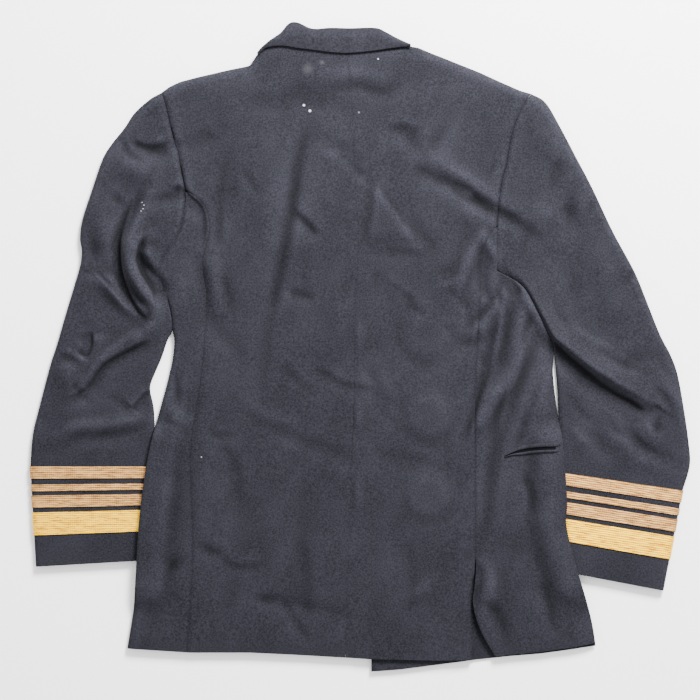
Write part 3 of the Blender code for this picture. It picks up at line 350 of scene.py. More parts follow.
# Folds that lap over the cloth beside them: softness, rise of the left side, dip of the right side,
# reach of the rise, reach of the dip, points. Left and right are seen walking along it.
laps = (
    (1.3, 2.6, 3.4, 26, 13, (
        (232, 24), (240, 10), (249, 1), (262, -12.5), (281, -27.5), (299, -44),
        (318, -56), (337, -66), (350, -75), (358, -80),
    )),
    (1.3, 2.8, 3.6, 15, 12, (
        (-281, 186), (-292, 160), (-299, 132), (-297, 98), (-288, 68), (-275, 46), (-262, 32),
    )),
    (1.3, 3.0, 4.4, 14, 10, (
        (-256, 50), (-260, 68), (-268, 81), (-277, 99), (-279, 117), (-274, 131), (-262, 145),
    )),
    (1.8, 3.2, 4.2, 16, 13, ((-334, 20), (-335, 2), (-341, -12), (-358, -7))),
    (1.3, 1.6, 2.2, 14, 12, ((-286, 44), (-310, 72), (-336, 98))),
    (1.3, 1.6, 2.4, 16, 14, ((-368, -66), (-343, -51), (-322, -22), (-283, 0), (-262, 10))),
    (1.3, 1.8, 2.4, 10, 9, ((-288, -78), (-276, -66), (-264, -52))),
    (2.0, 1.4, 2.4, 12, 10, ((-286, 258), (-262, 250), (-240, 256))),
    (2.0, 1.4, 2.6, 12, 10, ((-242, 196), (-226, 200), (-212, 188), (-197, 172), (-192, 150), (-196, 118))),
    (5.0, 1.2, 1.2, 16, 14, ((172, 172), (196, 160), (214, 148), (232, 134))),
    (4.0, 1.6, 2.6, 18, 12, ((222, 52), (206, 14), (190, -30), (176, -80), (166, -130))),
    (4.0, 1.2, 2.2, 18, 12, ((238, -6), (226, -50), (208, -96), (192, -140))),
    (2.6, 2.4, 3.6, 15, 13, ((178, 82), (173, 34), (160, -29), (145, -79), (128, -132))),
    (4.0, 1.4, 2.2, 14, 10, ((150, 14), (158, 30), (170, 46), (168, 66))),
    (5.0, 1.4, 1.8, 22, 14, ((-57, 275), (-73, 234), (-82, 171), (-98, 90), (-111, 21))),
    (5.0, 1.2, 2.2, 18, 14, ((66, 232), (90, 216), (112, 206), (168, 174))),
    (4.0, 1.0, 2.0, 12, 10, ((31, 121), (56, 119), (81, 115))),
    (4.0, 1.0, 1.9, 12, 10, ((-84, 172), (-66, 156), (-50, 139))),
    (4.0, 1.0, 1.9, 14, 12, ((-30, 243), (-10, 228), (8, 213))),
    (4.0, 1.0, 1.7, 14, 12, ((76, 112), (72, 70), (64, 21))),
    (4.0, 1.0, 1.8, 12, 10, ((-90, 70), (-72, 66), (-55, 63))),
    (4.0, 1.0, 1.5, 14, 12, ((-167, 234), (-172, 180), (-173, 121))),
    (4.0, 0.9, 1.6, 12, 10, ((28, 274), (52, 276), (76, 271))),
    (6.0, 0.8, 1.4, 24, 16, ((60, -92), (20, -60), (6, -20))),
    (6.0, 0.8, 1.4, 24, 16, ((12, -120), (44, -136), (86, -142))),
    (6.0, 0.8, 1.4, 22, 14, ((104, -60), (112, -110), (108, -164))),
    (6.0, 0.8, 1.4, 26, 18, ((-176, -110), (-150, -150), (-146, -200))),
    (6.0, 0.8, 1.3, 26, 18, ((-72, -230), (-60, -290), (-66, -350))),
    (6.0, 0.8, 1.3, 20, 14, ((62, -236), (70, -290), (66, -344))),
    (4.0, 0.8, 1.4, 14, 10, ((-176, -262), (-150, -272), (-124, -268))),
    (4.0, 0.8, 1.4, 14, 10, ((-60, -20), (-20, -44), (24, -52))),
)
# Strength of the small creases on the body, height left at a fold's ends, part of a lap that tapers
bodyCreases = 1.3
foldEnds = 0.35
lapTaper = 0.2

# Seams round the armholes: depth, width, points
armholeCreases = (
    (-2.6, 2.6, 2.6, armholeLeft),
    (-1.8, 2.2, 2.2, armholeRight),
)

# Curves and smooth steps
# Points along a smooth curve through the given ones
def smoothLine(points, steps=6):
    pts = np.array(points, dtype=float)
    padded = np.vstack([2 * pts[0] - pts[1], pts, 2 * pts[-1] - pts[-2]])
    line = []
    for a, b, c, d in zip(padded, padded[1:], padded[2:], padded[3:]):
        for t in np.arange(steps) / steps:
            square = (2 * a - 5 * b + 4 * c - d) * t**2
            cube = (3 * b - a - 3 * c + d) * t**3
            line.append(0.5 * ((2 * b) + (c - a) * t + square + cube))
    line.append(pts[-1])
    return np.array(line)


# A function that gives x at a height y on a line that runs down the back
def xOfY(points):
    line = smoothLine(points)
    order = np.argsort(line[:, 1])
    return lambda y: np.interp(y, line[order, 1], line[order, 0])


def yOfX(points):
    line = np.array(points, dtype=float)
    return lambda x: np.interp(x, line[:, 0], line[:, 1])


# The points at given parts of a line's length
def along(line, part):
    line = np.array(line, dtype=float)
    lengths = np.concatenate([[0], np.cumsum(np.hypot(*np.diff(line, axis=0).T))])
    at = np.array(part) * lengths[-1]
    return np.stack([np.interp(at, lengths, line[:, 0]), np.interp(at, lengths, line[:, 1])], axis=-1)


def ease(value):
    value = np.clip(value, 0, 1)
    return value * value * (3 - 2 * value)


def spread(low, high, step):
    count = max(1, round(abs(high - low) / step))
    return list(np.linspace(low, high, count + 1))


topY = yOfX(topLine)
hemY = yOfX(hemLine)
leftArmhole = xOfY(armholeLeft)
rightArmhole = xOfY(armholeRight)
leftEdge = xOfY(sideLeftEdge)
rightEdge = xOfY(sideRightEdge)
centreSeam = xOfY(centreSeamPoints)
rightVent = xOfY(rightVentEdge)


# Heights of the cloth
# Soft waves that keep the cloth from lying dead flat
def uneven(x, y):
    draw = np.random.RandomState(unevenness["seed"])
    total = np.zeros_like(x)
    for _ in range(unevenness["waves"]):
        angle = draw.uniform(0, math.tau)
        length = draw.uniform(unevenness["shortest"], unevenness["longest"])
        phase = draw.uniform(0, math.tau)
        total += np.sin((x * math.cos(angle) + y * math.sin(angle)) * math.tau / length + phase)
    return total * unevenness["height"] / math.sqrt(unevenness["waves"] / 2)


# Sum of the folds at each point, as soft ridges and troughs that die away beside and along their lines
def foldHeight(x, y, folds):
    total = np.zeros_like(x)
    for height, leftWidth, rightWidth, points in folds:
        away, side, share = nearest(x, y, smoothLine(points, 3))
        width = np.where(side > 0, leftWidth, rightWidth)
        ends = foldEnds + (1 - foldEnds) * np.sin(np.pi * share)
        total += height * ends * np.exp(-(away / width) ** 2)
    return total


# Distance to a line, the side of it, and how far along it the nearest point is
def nearest(x, y, line):
    best = np.full_like(x, 1e9)
    side = np.zeros_like(x)
    share = np.zeros_like(x)
    count = len(line) - 1
    for index in range(count):
        (ax, ay), (bx, by) = line[index], line[index + 1]
        dx, dy = bx - ax, by - ay
        t = np.clip(((x - ax) * dx + (y - ay) * dy) / (dx * dx + dy * dy), 0, 1)
        away = np.hypot(x - ax - t * dx, y - ay - t * dy)
        nearer = away < best
        best = np.where(nearer, away, best)
        side = np.where(nearer, dx * (y - ay) - dy * (x - ax), side)
        share = np.where(nearer, (index + t) / count, share)
    return best, side, share


# The laps' part of the height, a quick step across each line that dies away beside it
def lapHeight(x, y):
    total = np.zeros_like(x)
    for softness, rise, dip, highReach, lowReach, points in laps:
        away, side, share = nearest(x, y, smoothLine(points, 3))
        signed = np.where(side > 0, away, -away)
        step = 0.5 + 0.5 * np.tanh(signed / softness)
        high = rise * step * np.exp(-(np.maximum(signed, 0) / highReach) ** 2)
        low = dip * (1 - step) * np.exp(-(np.maximum(-signed, 0) / lowReach) ** 2)
        total += (high - low) * ease(share / lapTaper) * ease((1 - share) / lapTaper)
    return total


# Where the sides of the body lie over the cuffs: tops and foot of the stretch, reach inwards, fades
overCuff = {
    "left": -80, "right": -84, "fade": 34, "foot": -334, "footFade": 40, "reach": 48, "reachFade": 32,
}


# How much of the full lift the sides of the body have there
def tuck(x, y):
    foot = ease((y - overCuff["foot"]) / overCuff["footFade"])
    total = 0
    for side, away in (("left", x - leftEdge(y)), ("right", rightEdge(y) - x)):
        stretch = ease((overCuff[side] - y) / overCuff["fade"]) * foot
        total = np.maximum(total, stretch * ease((overCuff["reach"] - away) / overCuff["reachFade"]))
    return total


def buttonLift(x, y):
    lift = np.zeros_like(x)
    for column in button["columns"]:
        for row in button["rows"]:
            away = np.hypot(x - column, y - row)
            lift = np.maximum(lift, ease((button["reach"] - away) / button["fade"]))
    return lift * (button["thickness"] + layerGap)


# x of the front's edge at a height: straight up to the break, then slanting to the neck
def rollLine(side, y):
    edge, neck = fronts[side]["edge"], fronts[side]["neck"]
    part = np.clip((y - breakHeight) / (neck[1] - breakHeight), 0, rollPast)
    return edge + (neck[0] - edge) * part


def leftRoll(y):
    return rollLine("left", y)


def rightRoll(y):
    return rollLine("right", y)


# 1 over the turned-back lapel, falling to 0 just outside it
def lapelCover(side, x, y):
    sign = -1 if side == "left" else 1
    part = (y - breakHeight) / (fronts[side]["neck"][1] - breakHeight)
    width = np.interp(part, [row[0] for row in lapelWidths], [row[1] for row in lapelWidths])
    beyond = sign * (x - rollLine(side, y)) - width * lapelMargin["width"]
    begun = (part - fronts[side]["lapelStart"] + lapelMargin["early"]) / lapelMargin["start"]
    return ease((lapelMargin["reach"] - beyond) / lapelMargin["fade"]) * ease(begun)


def leftFrontBase(x, y):
    lapel = lapelCover("left", x, y) * (clothWall + layerGap)
    return np.maximum(lapel, buttonLift(x, y)) + tuck(x, y) * tuckLift


def leftFrontCover(x, y):
    return ease((frontCover["reach"] - (x - leftRoll(y))) / frontCover["fade"])


def rightLapelBase(x, y):
    return leftFrontCover(x, y) * (leftFrontBase(x, y) + clothWall + layerGap)


def rightFrontBase(x, y):
    lapel = lapelCover("right", x, y) * (clothWall + layerGap)
    return rightLapelBase(x, y) + lapel + tuck(x, y) * tuckLift * (1 - leftFrontCover(x, y))


def rightFrontCover(x, y):
    return ease((frontCover["reach"] - (rightRoll(y) - x)) / frontCover["fade"])


def frontTop(x, y):
    left = (leftFrontBase(x, y) + clothWall) * leftFrontCover(x, y)
    right = (rightFrontBase(x, y) + clothWall) * rightFrontCover(x, y)
    return np.maximum(left, right)


# The back's own height: rise at the shoulders, drop at the hem, and how it bridges the lapels below
backShape = {
    "topFoot": 230, "topFade": 110, "hemTop": -352, "hemFade": 36, "hemDrop": 1.2,
    "bridge": 4.0, "bridgeLeft": -200, "bridgeRight": 165, "bridgeSide": 70, "bridgeFoot": 20,
    "bridgeFade": 130, "tuckDrop": 2.5, "overhang": 10, "overLapel": 1.4,
}


# Height of the back's outer face
def bodyHeight(x, y):
    nearTop = ease((y - backShape["topFoot"]) / backShape["topFade"])
    nearHem = ease((backShape["hemTop"] - y) / backShape["hemFade"])
    base = backHeight + (shoulderHeight - backHeight) * nearTop - backShape["hemDrop"] * nearHem
    middle = ease((x - backShape["bridgeLeft"]) / backShape["bridgeSide"])
    middle = middle * ease((backShape["bridgeRight"] - x) / backShape["bridgeSide"])
    above = ease((y - backShape["bridgeFoot"]) / backShape["bridgeFade"])
    base = base + backShape["bridge"] * above * (1 - nearTop) * middle
    hang = tuck(x, y)
    wanted = base + hang * (tuckLift - backShape["tuckDrop"]) + foldHeight(x, y, bodyFolds) + armFolds(x, y)
    wanted = wanted + surfaceFolds(x, y, bodyCreases)
    overhang = backShape["overhang"] * hang * (1 - hang)
    overLapel = backShape["overLapel"] * lapelCover("right", x, y)
    floor = frontTop(x, y) + layerGap + clothWall + overhang + overLapel
    return softMax(wanted, floor)


# Small creases at a strength, waves, laps and armhole seams, on the body and the sleeves
def surfaceFolds(x, y, strength):
    creases = strength * foldHeight(x, y, smallFolds)
    return creases + uneven(x, y) + lapHeight(x, y) + foldHeight(x, y, armholeCreases)


# What the sleeves' folds add on the body, fading away from the armholes
armFade = {"left": -240, "right": 190, "width": 40}


def armFolds(x, y):
    left = ease((x - armFade["left"]) / armFade["width"])
    right = ease((armFade["right"] - x) / armFade["width"])
    return foldHeight(x, y, sleeveFolds) * (1 - left * right)


def softMax(wanted, floor, blend=1.0):
    gap = wanted - floor
    return floor + 0.5 * (gap + np.sqrt(gap * gap + blend * blend))


# Sleeves: heights on the arm and at the cuff, lift of the cuff's under side, how the shoulder rises,
# how far the body's folds run on, how much the cuff flattens the folds, steps between points
sleeve = {
    "arm": 9.0, "cuff": 7.6, "lift": 1.4, "armTop": 200, "armLength": 330, "shoulderFoot": 230,
    "shoulderFade": 90, "reachLeft": -232, "reachRight": 176, "reachFade": 45, "flatFolds": 0.75,
    "flatCreases": 0.5, "roll": 0.05, "edgeRise": 0.4, "step": 2.4, "length": 460, "cuffStep": 0.024,
    "cuffFrom": 0.86, "cuffFade": 0.12,
}


# Height of a sleeve's outer face; cuff runs from 0 on the arm to 1 at the lace
def sleeveHeight(x, y, cuff):
    down = ease((sleeve["armTop"] - y) / sleeve["armLength"])
    base = sleeve["arm"] + (sleeve["cuff"] - sleeve["arm"]) * down
    rise = ease((y - sleeve["shoulderFoot"]) / sleeve["shoulderFade"])
    shoulder = (shoulderHeight - sleeve["arm"]) * rise
    bodySide = foldHeight(x, y, bodyFolds) * ease(1 - sleeveReach(x) / sleeve["reachFade"])
    folds = (1 - sleeve["flatFolds"] * cuff) * foldHeight(x, y, sleeveFolds)
    folds = folds + (1 - sleeve["flatCreases"] * cuff) * surfaceFolds(x, y, 1)
    floor = sleeve["lift"] * cuff + 2 * clothWall + layerGap
    return softMax(base + shoulder + folds + bodySide, floor)


# How far a point is out past the armhole's mean line
def sleeveReach(x):
    left = np.maximum(sleeve["reachLeft"] - x, 0)
    right = np.maximum(x - sleeve["reachRight"], 0)
    return np.where(x < 0, left, right)


# Sheets of cloth: angles of a rolled edge's points, angle that stays sharp, steepest slope, join of a ring
rollAngles = (0, 9, 22, 36, 50, 66)
sharpAngle = 62
steepest = 1.6
joinGap = 1e-7


# Places across a rolled edge, as parts of the panel's width
def edgeParts(roll):
    return [roll * (1 - math.cos(math.radians(angle))) for angle in rollAngles]


# Height at a part of the width from an edge that rolls down to its middle
def rolled(height, middle, part, roll):
    inside = np.clip(part / roll, 0, 1)
    return middle + (height - middle) * np.sqrt(np.clip(1 - (1 - inside) ** 2, 0, 1))


# Cosine of the roll's angle: 1 where the edge stands upright, 0 on the flat
def edgeAngle(part, roll):
    return np.clip(1 - part / roll, 0, 1)


# How far each point lies below the cloth around it, 1 in a deep crease or on a seam; the wool's colour uses
# it as painted shade there, and as a painted highlight on crests
def paintedShadeDepth(z, seamShades):
    blurred = z
    for axis in (0, 1):
        size = blurred.shape[axis]
        total = 0
        for shift in range(-paintedShadeLook["reach"], paintedShadeLook["reach"] + 1):
            total = total + np.take(blurred, np.clip(np.arange(size) + shift, 0, size - 1), axis=axis)
        blurred = total / (2 * paintedShadeLook["reach"] + 1)
    depth = np.clip((blurred - z) / paintedShadeLook["depth"], paintedShadeLook["crestHighlight"], 1)
    depth[:, 0] = np.maximum(depth[:, 0], seamShades[0])
    depth[:, -1] = np.maximum(depth[:, -1], seamShades[1])
    return depth


# A closed sheet: a grid moved to its outer points, then extruded to its inner ones; each point keeps its
# painted shade for the wool's colour
def cloth(name, outer, wall, up, material, closed=False, seamShades=(0, 0)):
    rows, columns, _ = outer.shape
    bm = bmesh.new()
    offset = bm.verts.layers.float_vector.new("offset")
    # Point attribute for the painted shade of creases and seams and the painted highlight of crests
    paintedShade = bm.verts.layers.float.new("paintedShade")
    depth = paintedShadeDepth(outer[..., 2], seamShades)
    bmesh.ops.create_grid(bm, x_segments=columns - 1, y_segments=rows - 1, size=1)
    bm.verts.ensure_lookup_table()
    order = sorted(bm.verts, key=lambda v: (round(v.co.y, 5), round(v.co.x, 5)))
    grid = zip(order, outer.reshape(-1, 3) * mm, wall.reshape(-1, 3) * mm, depth.ravel())
    for vert, point, inside, shade in grid:
        vert.co = point
        vert[offset] = inside
        vert[paintedShade] = shade
    if closed:
        bmesh.ops.remove_doubles(bm, verts=bm.verts, dist=joinGap)
    bm.normal_update()
    facing = sum(face.normal.z * face.calc_area() for face in bm.faces)
    if (facing > 0) != up:
        bmesh.ops.reverse_faces(bm, faces=bm.faces)
    made = bmesh.ops.extrude_face_region(bm, geom=bm.faces[:], use_keep_orig=True)
    for vert in (item for item in made["geom"] if isinstance(item, bmesh.types.BMVert)):
        vert.co += vert[offset]
    bmesh.ops.recalc_face_normals(bm, faces=bm.faces)
    bm.verts.layers.float_vector.remove(offset)
    mesh = bpy.data.meshes.new(name)
    bm.to_mesh(mesh)
    bm.free()
    mesh.shade_smooth()
    mesh.set_sharp_from_angle(angle=math.radians(sharpAngle))
    return place(name, mesh, material)


def place(name, mesh, material):
    piece = bpy.data.objects.new(name, mesh)
    mesh.materials.clear()
    mesh.materials.append(material)
    bpy.context.scene.collection.objects.link(piece)
    pieces[name] = piece
    return piece


# Unit steps along the rows or the columns of a sheet's plan
def toward(plan, axis):
    step = np.gradient(plan, axis=axis)
    return step / np.linalg.norm(step, axis=-1, keepdims=True)


# Offsets to the inner face: straight down on the flat, sideways at a rolled edge
def inward(x, y, height, lean, leanX, leanY, up, thickness=clothWall):
    step = 1.0
    slopeX = (height(x + step, y) - height(x - step, y)) / (2 * step)
    slopeY = (height(x, y + step) - height(x, y - step)) / (2 * step)
    steep = np.sqrt(1 + np.clip(slopeX**2 + slopeY**2, 0, steepest))
    sink = thickness * (1 - lean) ** 0.5 * np.where(lean > 0, 1.0, steep)
    return np.stack([thickness * lean * leanX, thickness * lean * leanY, -sink if up else sink], axis=-1)


# Body panels
# Stations down the back, closer together where the shoulder rolls over
def bodyRows(step):
    rows = [topStation - part * edgeRoll for part in edgeParts(1.0)]
    rows += spread(topStation - edgeRoll, armholeFoot, step)
    rows += spread(armholeFoot, hemStation, step)[1:]
    return np.array(rows)


# y of a station at x: the stations bend to the top line above and to the hem below
topBend = 200
hemBend = -250


def stationY(x, station, hem=hemY):
    nearTop = np.clip((station - topBend) / (topStation - topBend), 0, 1)
    nearHem = np.clip((hemBend - station) / (hemBend - hemStation), 0, 1)
    return station + nearTop * (topY(x) - topStation) + nearHem * (hem(x) - hemStation)


# Points where a line down the back crosses the stations
def lineAt(column, stations, hem=hemY):
    x = column(stations)
    for _ in range(crossingRounds):
        x = column(stationY(x, stations, hem))
    return x


def sideOutline(side):
    armhole, edge = (leftArmhole, leftEdge) if side == "left" else (rightArmhole, rightEdge)
    return lambda y: np.where(y >= armholeFoot, armhole(y), edge(y))


# A seam that starts on the armhole, and follows the outline above its start
def seamLine(points, outline):
    seam = xOfY(points)
    return lambda y: np.where(y >= points[0][1], outline(y), seam(y))


leftOutline = sideOutline("left")
rightOutline = sideOutline("right")
backLeftLine = seamLine(leftSeamPoints, leftOutline)
backRightLine = seamLine(rightSeamPoints, rightOutline)


def ventLine(y):
    return np.where(y > rightVentEdge[0][1], backRightLine(y), rightVent(y))


# Where a panel's edges rise: at the neck, at the foot of the armhole, and where it lies over the cuffs
panelEdge = {
    "neckLeft": -146, "neckRight": 88, "neckFade": 16, "neckDrop": 3.0, "foot": 1, "footFade": 8,
    "tuckGap": 0.3,
}


# One body panel between two lines down the back
def panel(name, stations, lines, parts, base, up, rolls=None, hem=hemY):
    start, end = lines
    parts = np.array(parts)[None, :]
    xStart = lineAt(start, stations, hem)[:, None] + seamGap / 2
    xEnd = lineAt(end, stations, hem)[:, None] - seamGap / 2
    x = xStart + (xEnd - xStart) * parts
    y = stationY(x, stations[:, None], hem)
    z = base(x, y)
    sign = 1 if up else -1
    lift = tuck(x, y)
    edgeZ = edgeMiddle + lift * tuckLift + sign * (edgeGap / 2 + panelEdge["tuckGap"] * lift)
    foot = ease((armholeFoot + panelEdge["foot"] - y) / panelEdge["footFade"])
    lean = np.zeros_like(x)
    leanX = np.zeros_like(x)
    if rolls:
        part = (parts if rolls == "start" else 1 - parts) + np.zeros_like(x)
        z = z + foot * (rolled(z, edgeZ, part, sideRoll) - z)
        lean = np.maximum(lean, foot * edgeAngle(part, sideRoll))
        leanX = np.where(part < sideRoll, 1.0 if rolls == "start" else -1.0, leanX)
    belowTop = (topStation - stations[:, None]) + np.zeros_like(x)
    shoulder = np.clip(belowTop / edgeRoll, 0, 1)
    topMiddle = edgeMiddle + sign * seamGap / 2
    if up:
        neck = ease((x - panelEdge["neckLeft"]) / panelEdge["neckFade"])
        neck = neck * ease((panelEdge["neckRight"] - x) / panelEdge["neckFade"])
        topMiddle = topMiddle + neck * (shoulderHeight - panelEdge["neckDrop"] - edgeMiddle)
    z = np.where(belowTop < edgeRoll, rolled(z, topMiddle, shoulder, 1.0), z)
    topLean = np.where(belowTop < edgeRoll, edgeAngle(shoulder, 1.0), 0)
    down = toward(np.stack([x, y], axis=-1), 0)
    atTop = topLean > lean
    wallX = np.where(atTop, down[..., 0], leanX)
    wallY = np.where(atTop, down[..., 1], 0.0)
    wall = inward(x, y, base, np.maximum(lean, topLean), wallX, wallY, up)
    depths = [seamDip["centre"] if line is centreSeam else seamDip["side"] for line in lines]
    if rolls:
        depths[("start", "end").index(rolls)] = 0
    if up:
        for away, depth in zip((x - xStart, xEnd - x), depths):
            z = z - depth * np.exp(-(away / seamDip["width"]) ** 2)
    # Painted shade along the seams, set on the panel's edge columns
    seamShades = [paintedShadeLook["seam"] * depth / seamDip["side"] for depth in depths]
    return cloth(name, np.stack([x, y, z], axis=-1), wall, up, wool, seamShades=seamShades)


def underHem(x):
    return hemY(x) + frontHemInset


# Sleeves
# Parts of the way down the cuff, with even steps between the lace's edges
def cuffStations():
    stations = []
    for low, high in zip(cuffParts, cuffParts[1:]):
        stations += spread(low, high, sleeve["cuffStep"])[:-1]
    return stations + [cuffParts[-1]]


# Grid of plan points down the sleeve, its parts across, and its cuff amounts
def sleevePlan(side):
    left = side == "left"
    outline = leftOutline if left else rightOutline
    outer, inner, cuff = (leftOuter, leftInner, leftCuff) if left else (rightOuter, rightInner, rightCuff)
    stations = bodyRows(bodyStep)
    stations = stations[stations >= armholeFoot - stationSlack]
    holeX = lineAt(outline, stations)
    hole = np.stack([holeX, stationY(holeX, stations)], axis=-1)
    steps = np.concatenate([[0], np.cumsum(np.hypot(*np.diff(hole, axis=0).T))])
    parts = set(np.round(steps / steps[-1], 6)) | {1 - round(part, 6) for part in edgeParts(sleeve["roll"])}
    parts = np.array(sorted(parts))
    armhole = along(hole, parts)
    share = np.array(spread(0, 1, sleeve["step"] / sleeve["length"]))[:-1]
    outerLine = np.vstack([along(smoothLine(outer), share), along((cuff[0], cuff[2]), cuffStations())])
    innerLine = np.vstack([along(smoothLine(inner), share), along((cuff[1], cuff[3]), cuffStations())])
    across = outerLine[:, None] + (innerLine - outerLine)[:, None] * parts[None, :, None]
    straight = armhole[0] + (armhole[-1] - armhole[0]) * parts[:, None]
    bow = np.zeros(len(across))
    bow[: len(share)] = (1 - share) ** 2
    plan = across + bow[:, None, None] * (armhole - straight)[None]
    plan[0, :, 0] += (-1 if left else 1) * seamGap
    reach = np.ones(len(across))
    reach[: len(share)] = ease((share - sleeve["cuffFrom"]) / sleeve["cuffFade"])
    return plan, parts, reach


# Outer points and wall offsets of the upper or the under sleeve
def sleeveSheet(side, up):
    plan, parts, reach = sleevePlan(side)
    x, y = plan[..., 0], plan[..., 1]
    cuff = reach[:, None] + np.zeros_like(x)
    across = parts[None, :] + np.zeros_like(x)
    sign = 1 if up else -1

    def height(atX, atY):
        return sleeveHeight(atX, atY, cuff) if up else sleeve["lift"] * cuff

    z = height(x, y)
    edgeZ = edgeMiddle + sleeve["edgeRise"] * cuff + sign * seamGap / 2
    for part in (across, 1 - across):
        z = rolled(z, edgeZ, part, sleeve["roll"])
    lean = np.maximum(edgeAngle(across, sleeve["roll"]), edgeAngle(1 - across, sleeve["roll"]))
    way = toward(plan, 1) * np.where(across < 0.5, 1.0, -1.0)[..., None]
    wall = inward(x, y, height, lean, way[..., 0], way[..., 1], up)
    return np.stack([x, y, z], axis=-1), wall


def makeSleeve(side):
    sheets = {}
    for key, up in (("upper", True), ("under", False)):
        outer, wall = sleeveSheet(side, up)
        armRows = len(outer) - len(cuffStations())
        sheets[key] = (outer[armRows:], wall[armRows:])
        cloth(f"{key}Sleeve{side.capitalize()}", outer, wall, up, wool)
    for number, (row, colour) in enumerate(stripeTable, 1):
        makeStripe(f"lace{side.capitalize()}{number}", sheets, row, lace[side][colour])


# Lace round the cuff, from the cuff's own points moved out
def makeStripe(name, sheets, row, material):
    ring, walls = [], []
    stations = cuffStations()
    first, last = stations.index(cuffParts[row]), stations.index(cuffParts[row + 1]) + 1
    for key, order in (("upper", 1), ("under", -1)):
        outer, wall = sheets[key]
        outward = -wall / np.linalg.norm(wall, axis=-1, keepdims=True)
        points = outer[first:last] + outward[first:last] * (seamGap + laceWall)
        ring.append(points[:, ::order])
        walls.append(-outward[first:last, ::order] * laceWall)
    ring = np.concatenate(ring + [ring[0][:, :1]], axis=1)
    walls = np.concatenate(walls + [walls[0][:, :1]], axis=1)
    cloth(name, ring, walls, True, material, closed=True)


# Collar and pocket
collar = {
    "wall": 1.8, "steps": 6, "standGap": 1.2, "leastDepth": 3, "roll": 0.35, "step": 0.06,
    "crown": 0.8, "standDrop": 5.4, "foldDrop": 0.3, "foldWall": 0.9,
}
# Pocket mouth on the right side panel: x, y of its middle line
rightPocket = ((180, -136), (192, -131.5), (208, -128), (226, -126), (240, -125.5), (249, -125.5))
# Strips of the pocket: name, lower and upper edge above its middle line, rise over the cloth, wall
pocket = {
    "drop": 2.4, "dropFrom": 238, "dropFade": 12, "narrow": 0.25, "widening": 24, "crown": 0.5, "steps": 8,
}
pocketStrips = (
    ("pocketJetUpper", 2.0, 6.5, 1.6, 1.1),
    ("pocketJetLower", -5.15, -2.0, 1.3, 0.9),
    # The last strip is the near-black lining: painted shade in the slit
    ("pocketSlitLiningShade", -2.5, 2.5, 0.6, 0.4),
)
stripRows = 6


def collarColumns():
    fold = smoothLine([(row[0], row[1]) for row in collarTable], collar["steps"])
    edge = smoothLine([(row[0], row[2]) for row in collarTable], collar["steps"])
    return fold[:, 0], fold[:, 1], edge[:, 1]


# The fall that lies on the back, and the stand behind it, which meet at the fold
def makeCollar():
    xLine, fold, edge = collarColumns()
    rollParts = [1 - part for part in reversed(edgeParts(collar["roll"]))]
    parts = np.array(spread(0, 1 - collar["roll"], collar["step"]) + rollParts)[:, None]
    for name, up in (("collarFall", True), ("collarStand", False)):
        low = edge if up else topY(xLine) + collar["standGap"]
        room = fold - low > collar["leastDepth"]
        y = low[room] + (fold - low)[room] * parts
        x = xLine[room] + np.zeros_like(y)
        under = bodyHeight(x, edge[room] + np.zeros_like(y))
        face = under + layerGap + collar["wall"]
        face = face + collar["crown"] * np.sin(np.pi * parts) if up else face - collar["standDrop"]
        middle = under - collar["foldDrop"] + (seamGap / 2 if up else -seamGap / 2)
        part = 1 - parts + np.zeros_like(x)
        z = rolled(face, middle, part, collar["roll"])
        lean = edgeAngle(part, collar["roll"])
        sink = collar["wall"] * np.sqrt(1 - lean**2)
        wallY = -collar["wall"] * collar["foldWall"] * lean
        wall = np.stack([np.zeros_like(x), wallY, -sink if up else sink], axis=-1)
        cloth(name, np.stack([x, y, z], axis=-1), wall, up, wool)


# Two narrow jets above and below the pocket's slit, and the dark strip in it: lining seen in the slit, made
# near black as painted shade for the slit's shadow
def makePocket():
    line = smoothLine(rightPocket, pocket["steps"])[None]
    parts = np.linspace(0, 1, stripRows)[:, None]
    onward = (line[..., 0] - line[0, 0, 0]) / pocket["widening"]
    opened = pocket["narrow"] + (1 - pocket["narrow"]) * ease(onward)
    for name, low, high, rise, thickness in pocketStrips:
        y = line[..., 1] + (low + (high - low) * parts) * opened
        x = line[..., 0] + np.zeros_like(y)
        jet = name != "pocketSlitLiningShade"
        crown = pocket["crown"] * np.sin(np.pi * parts) if jet else 0
        drop = pocket["drop"] * ease((x - pocket["dropFrom"]) / pocket["dropFade"])
        z = bodyHeight(x, y) + rise + crown - drop
        wall = np.stack([np.zeros_like(x), np.zeros_like(x), np.full_like(x, -thickness)], axis=-1)
        cloth(name, np.stack([x, y, z], axis=-1), wall, True, wool if jet else slitLiningShade)


# Places across a panel: even, and closer together at a rolled edge
def bodyParts(step, width, rolls=None):
    low = sideRoll if rolls == "start" else 0.0
    high = 1 - sideRoll if rolls == "end" else 1.0
    parts = spread(low, high, step / width)
    if rolls == "start":
        parts = edgeParts(sideRoll) + parts
    if rolls == "end":
        parts = parts + [1 - part for part in reversed(edgeParts(sideRoll))]
    return parts


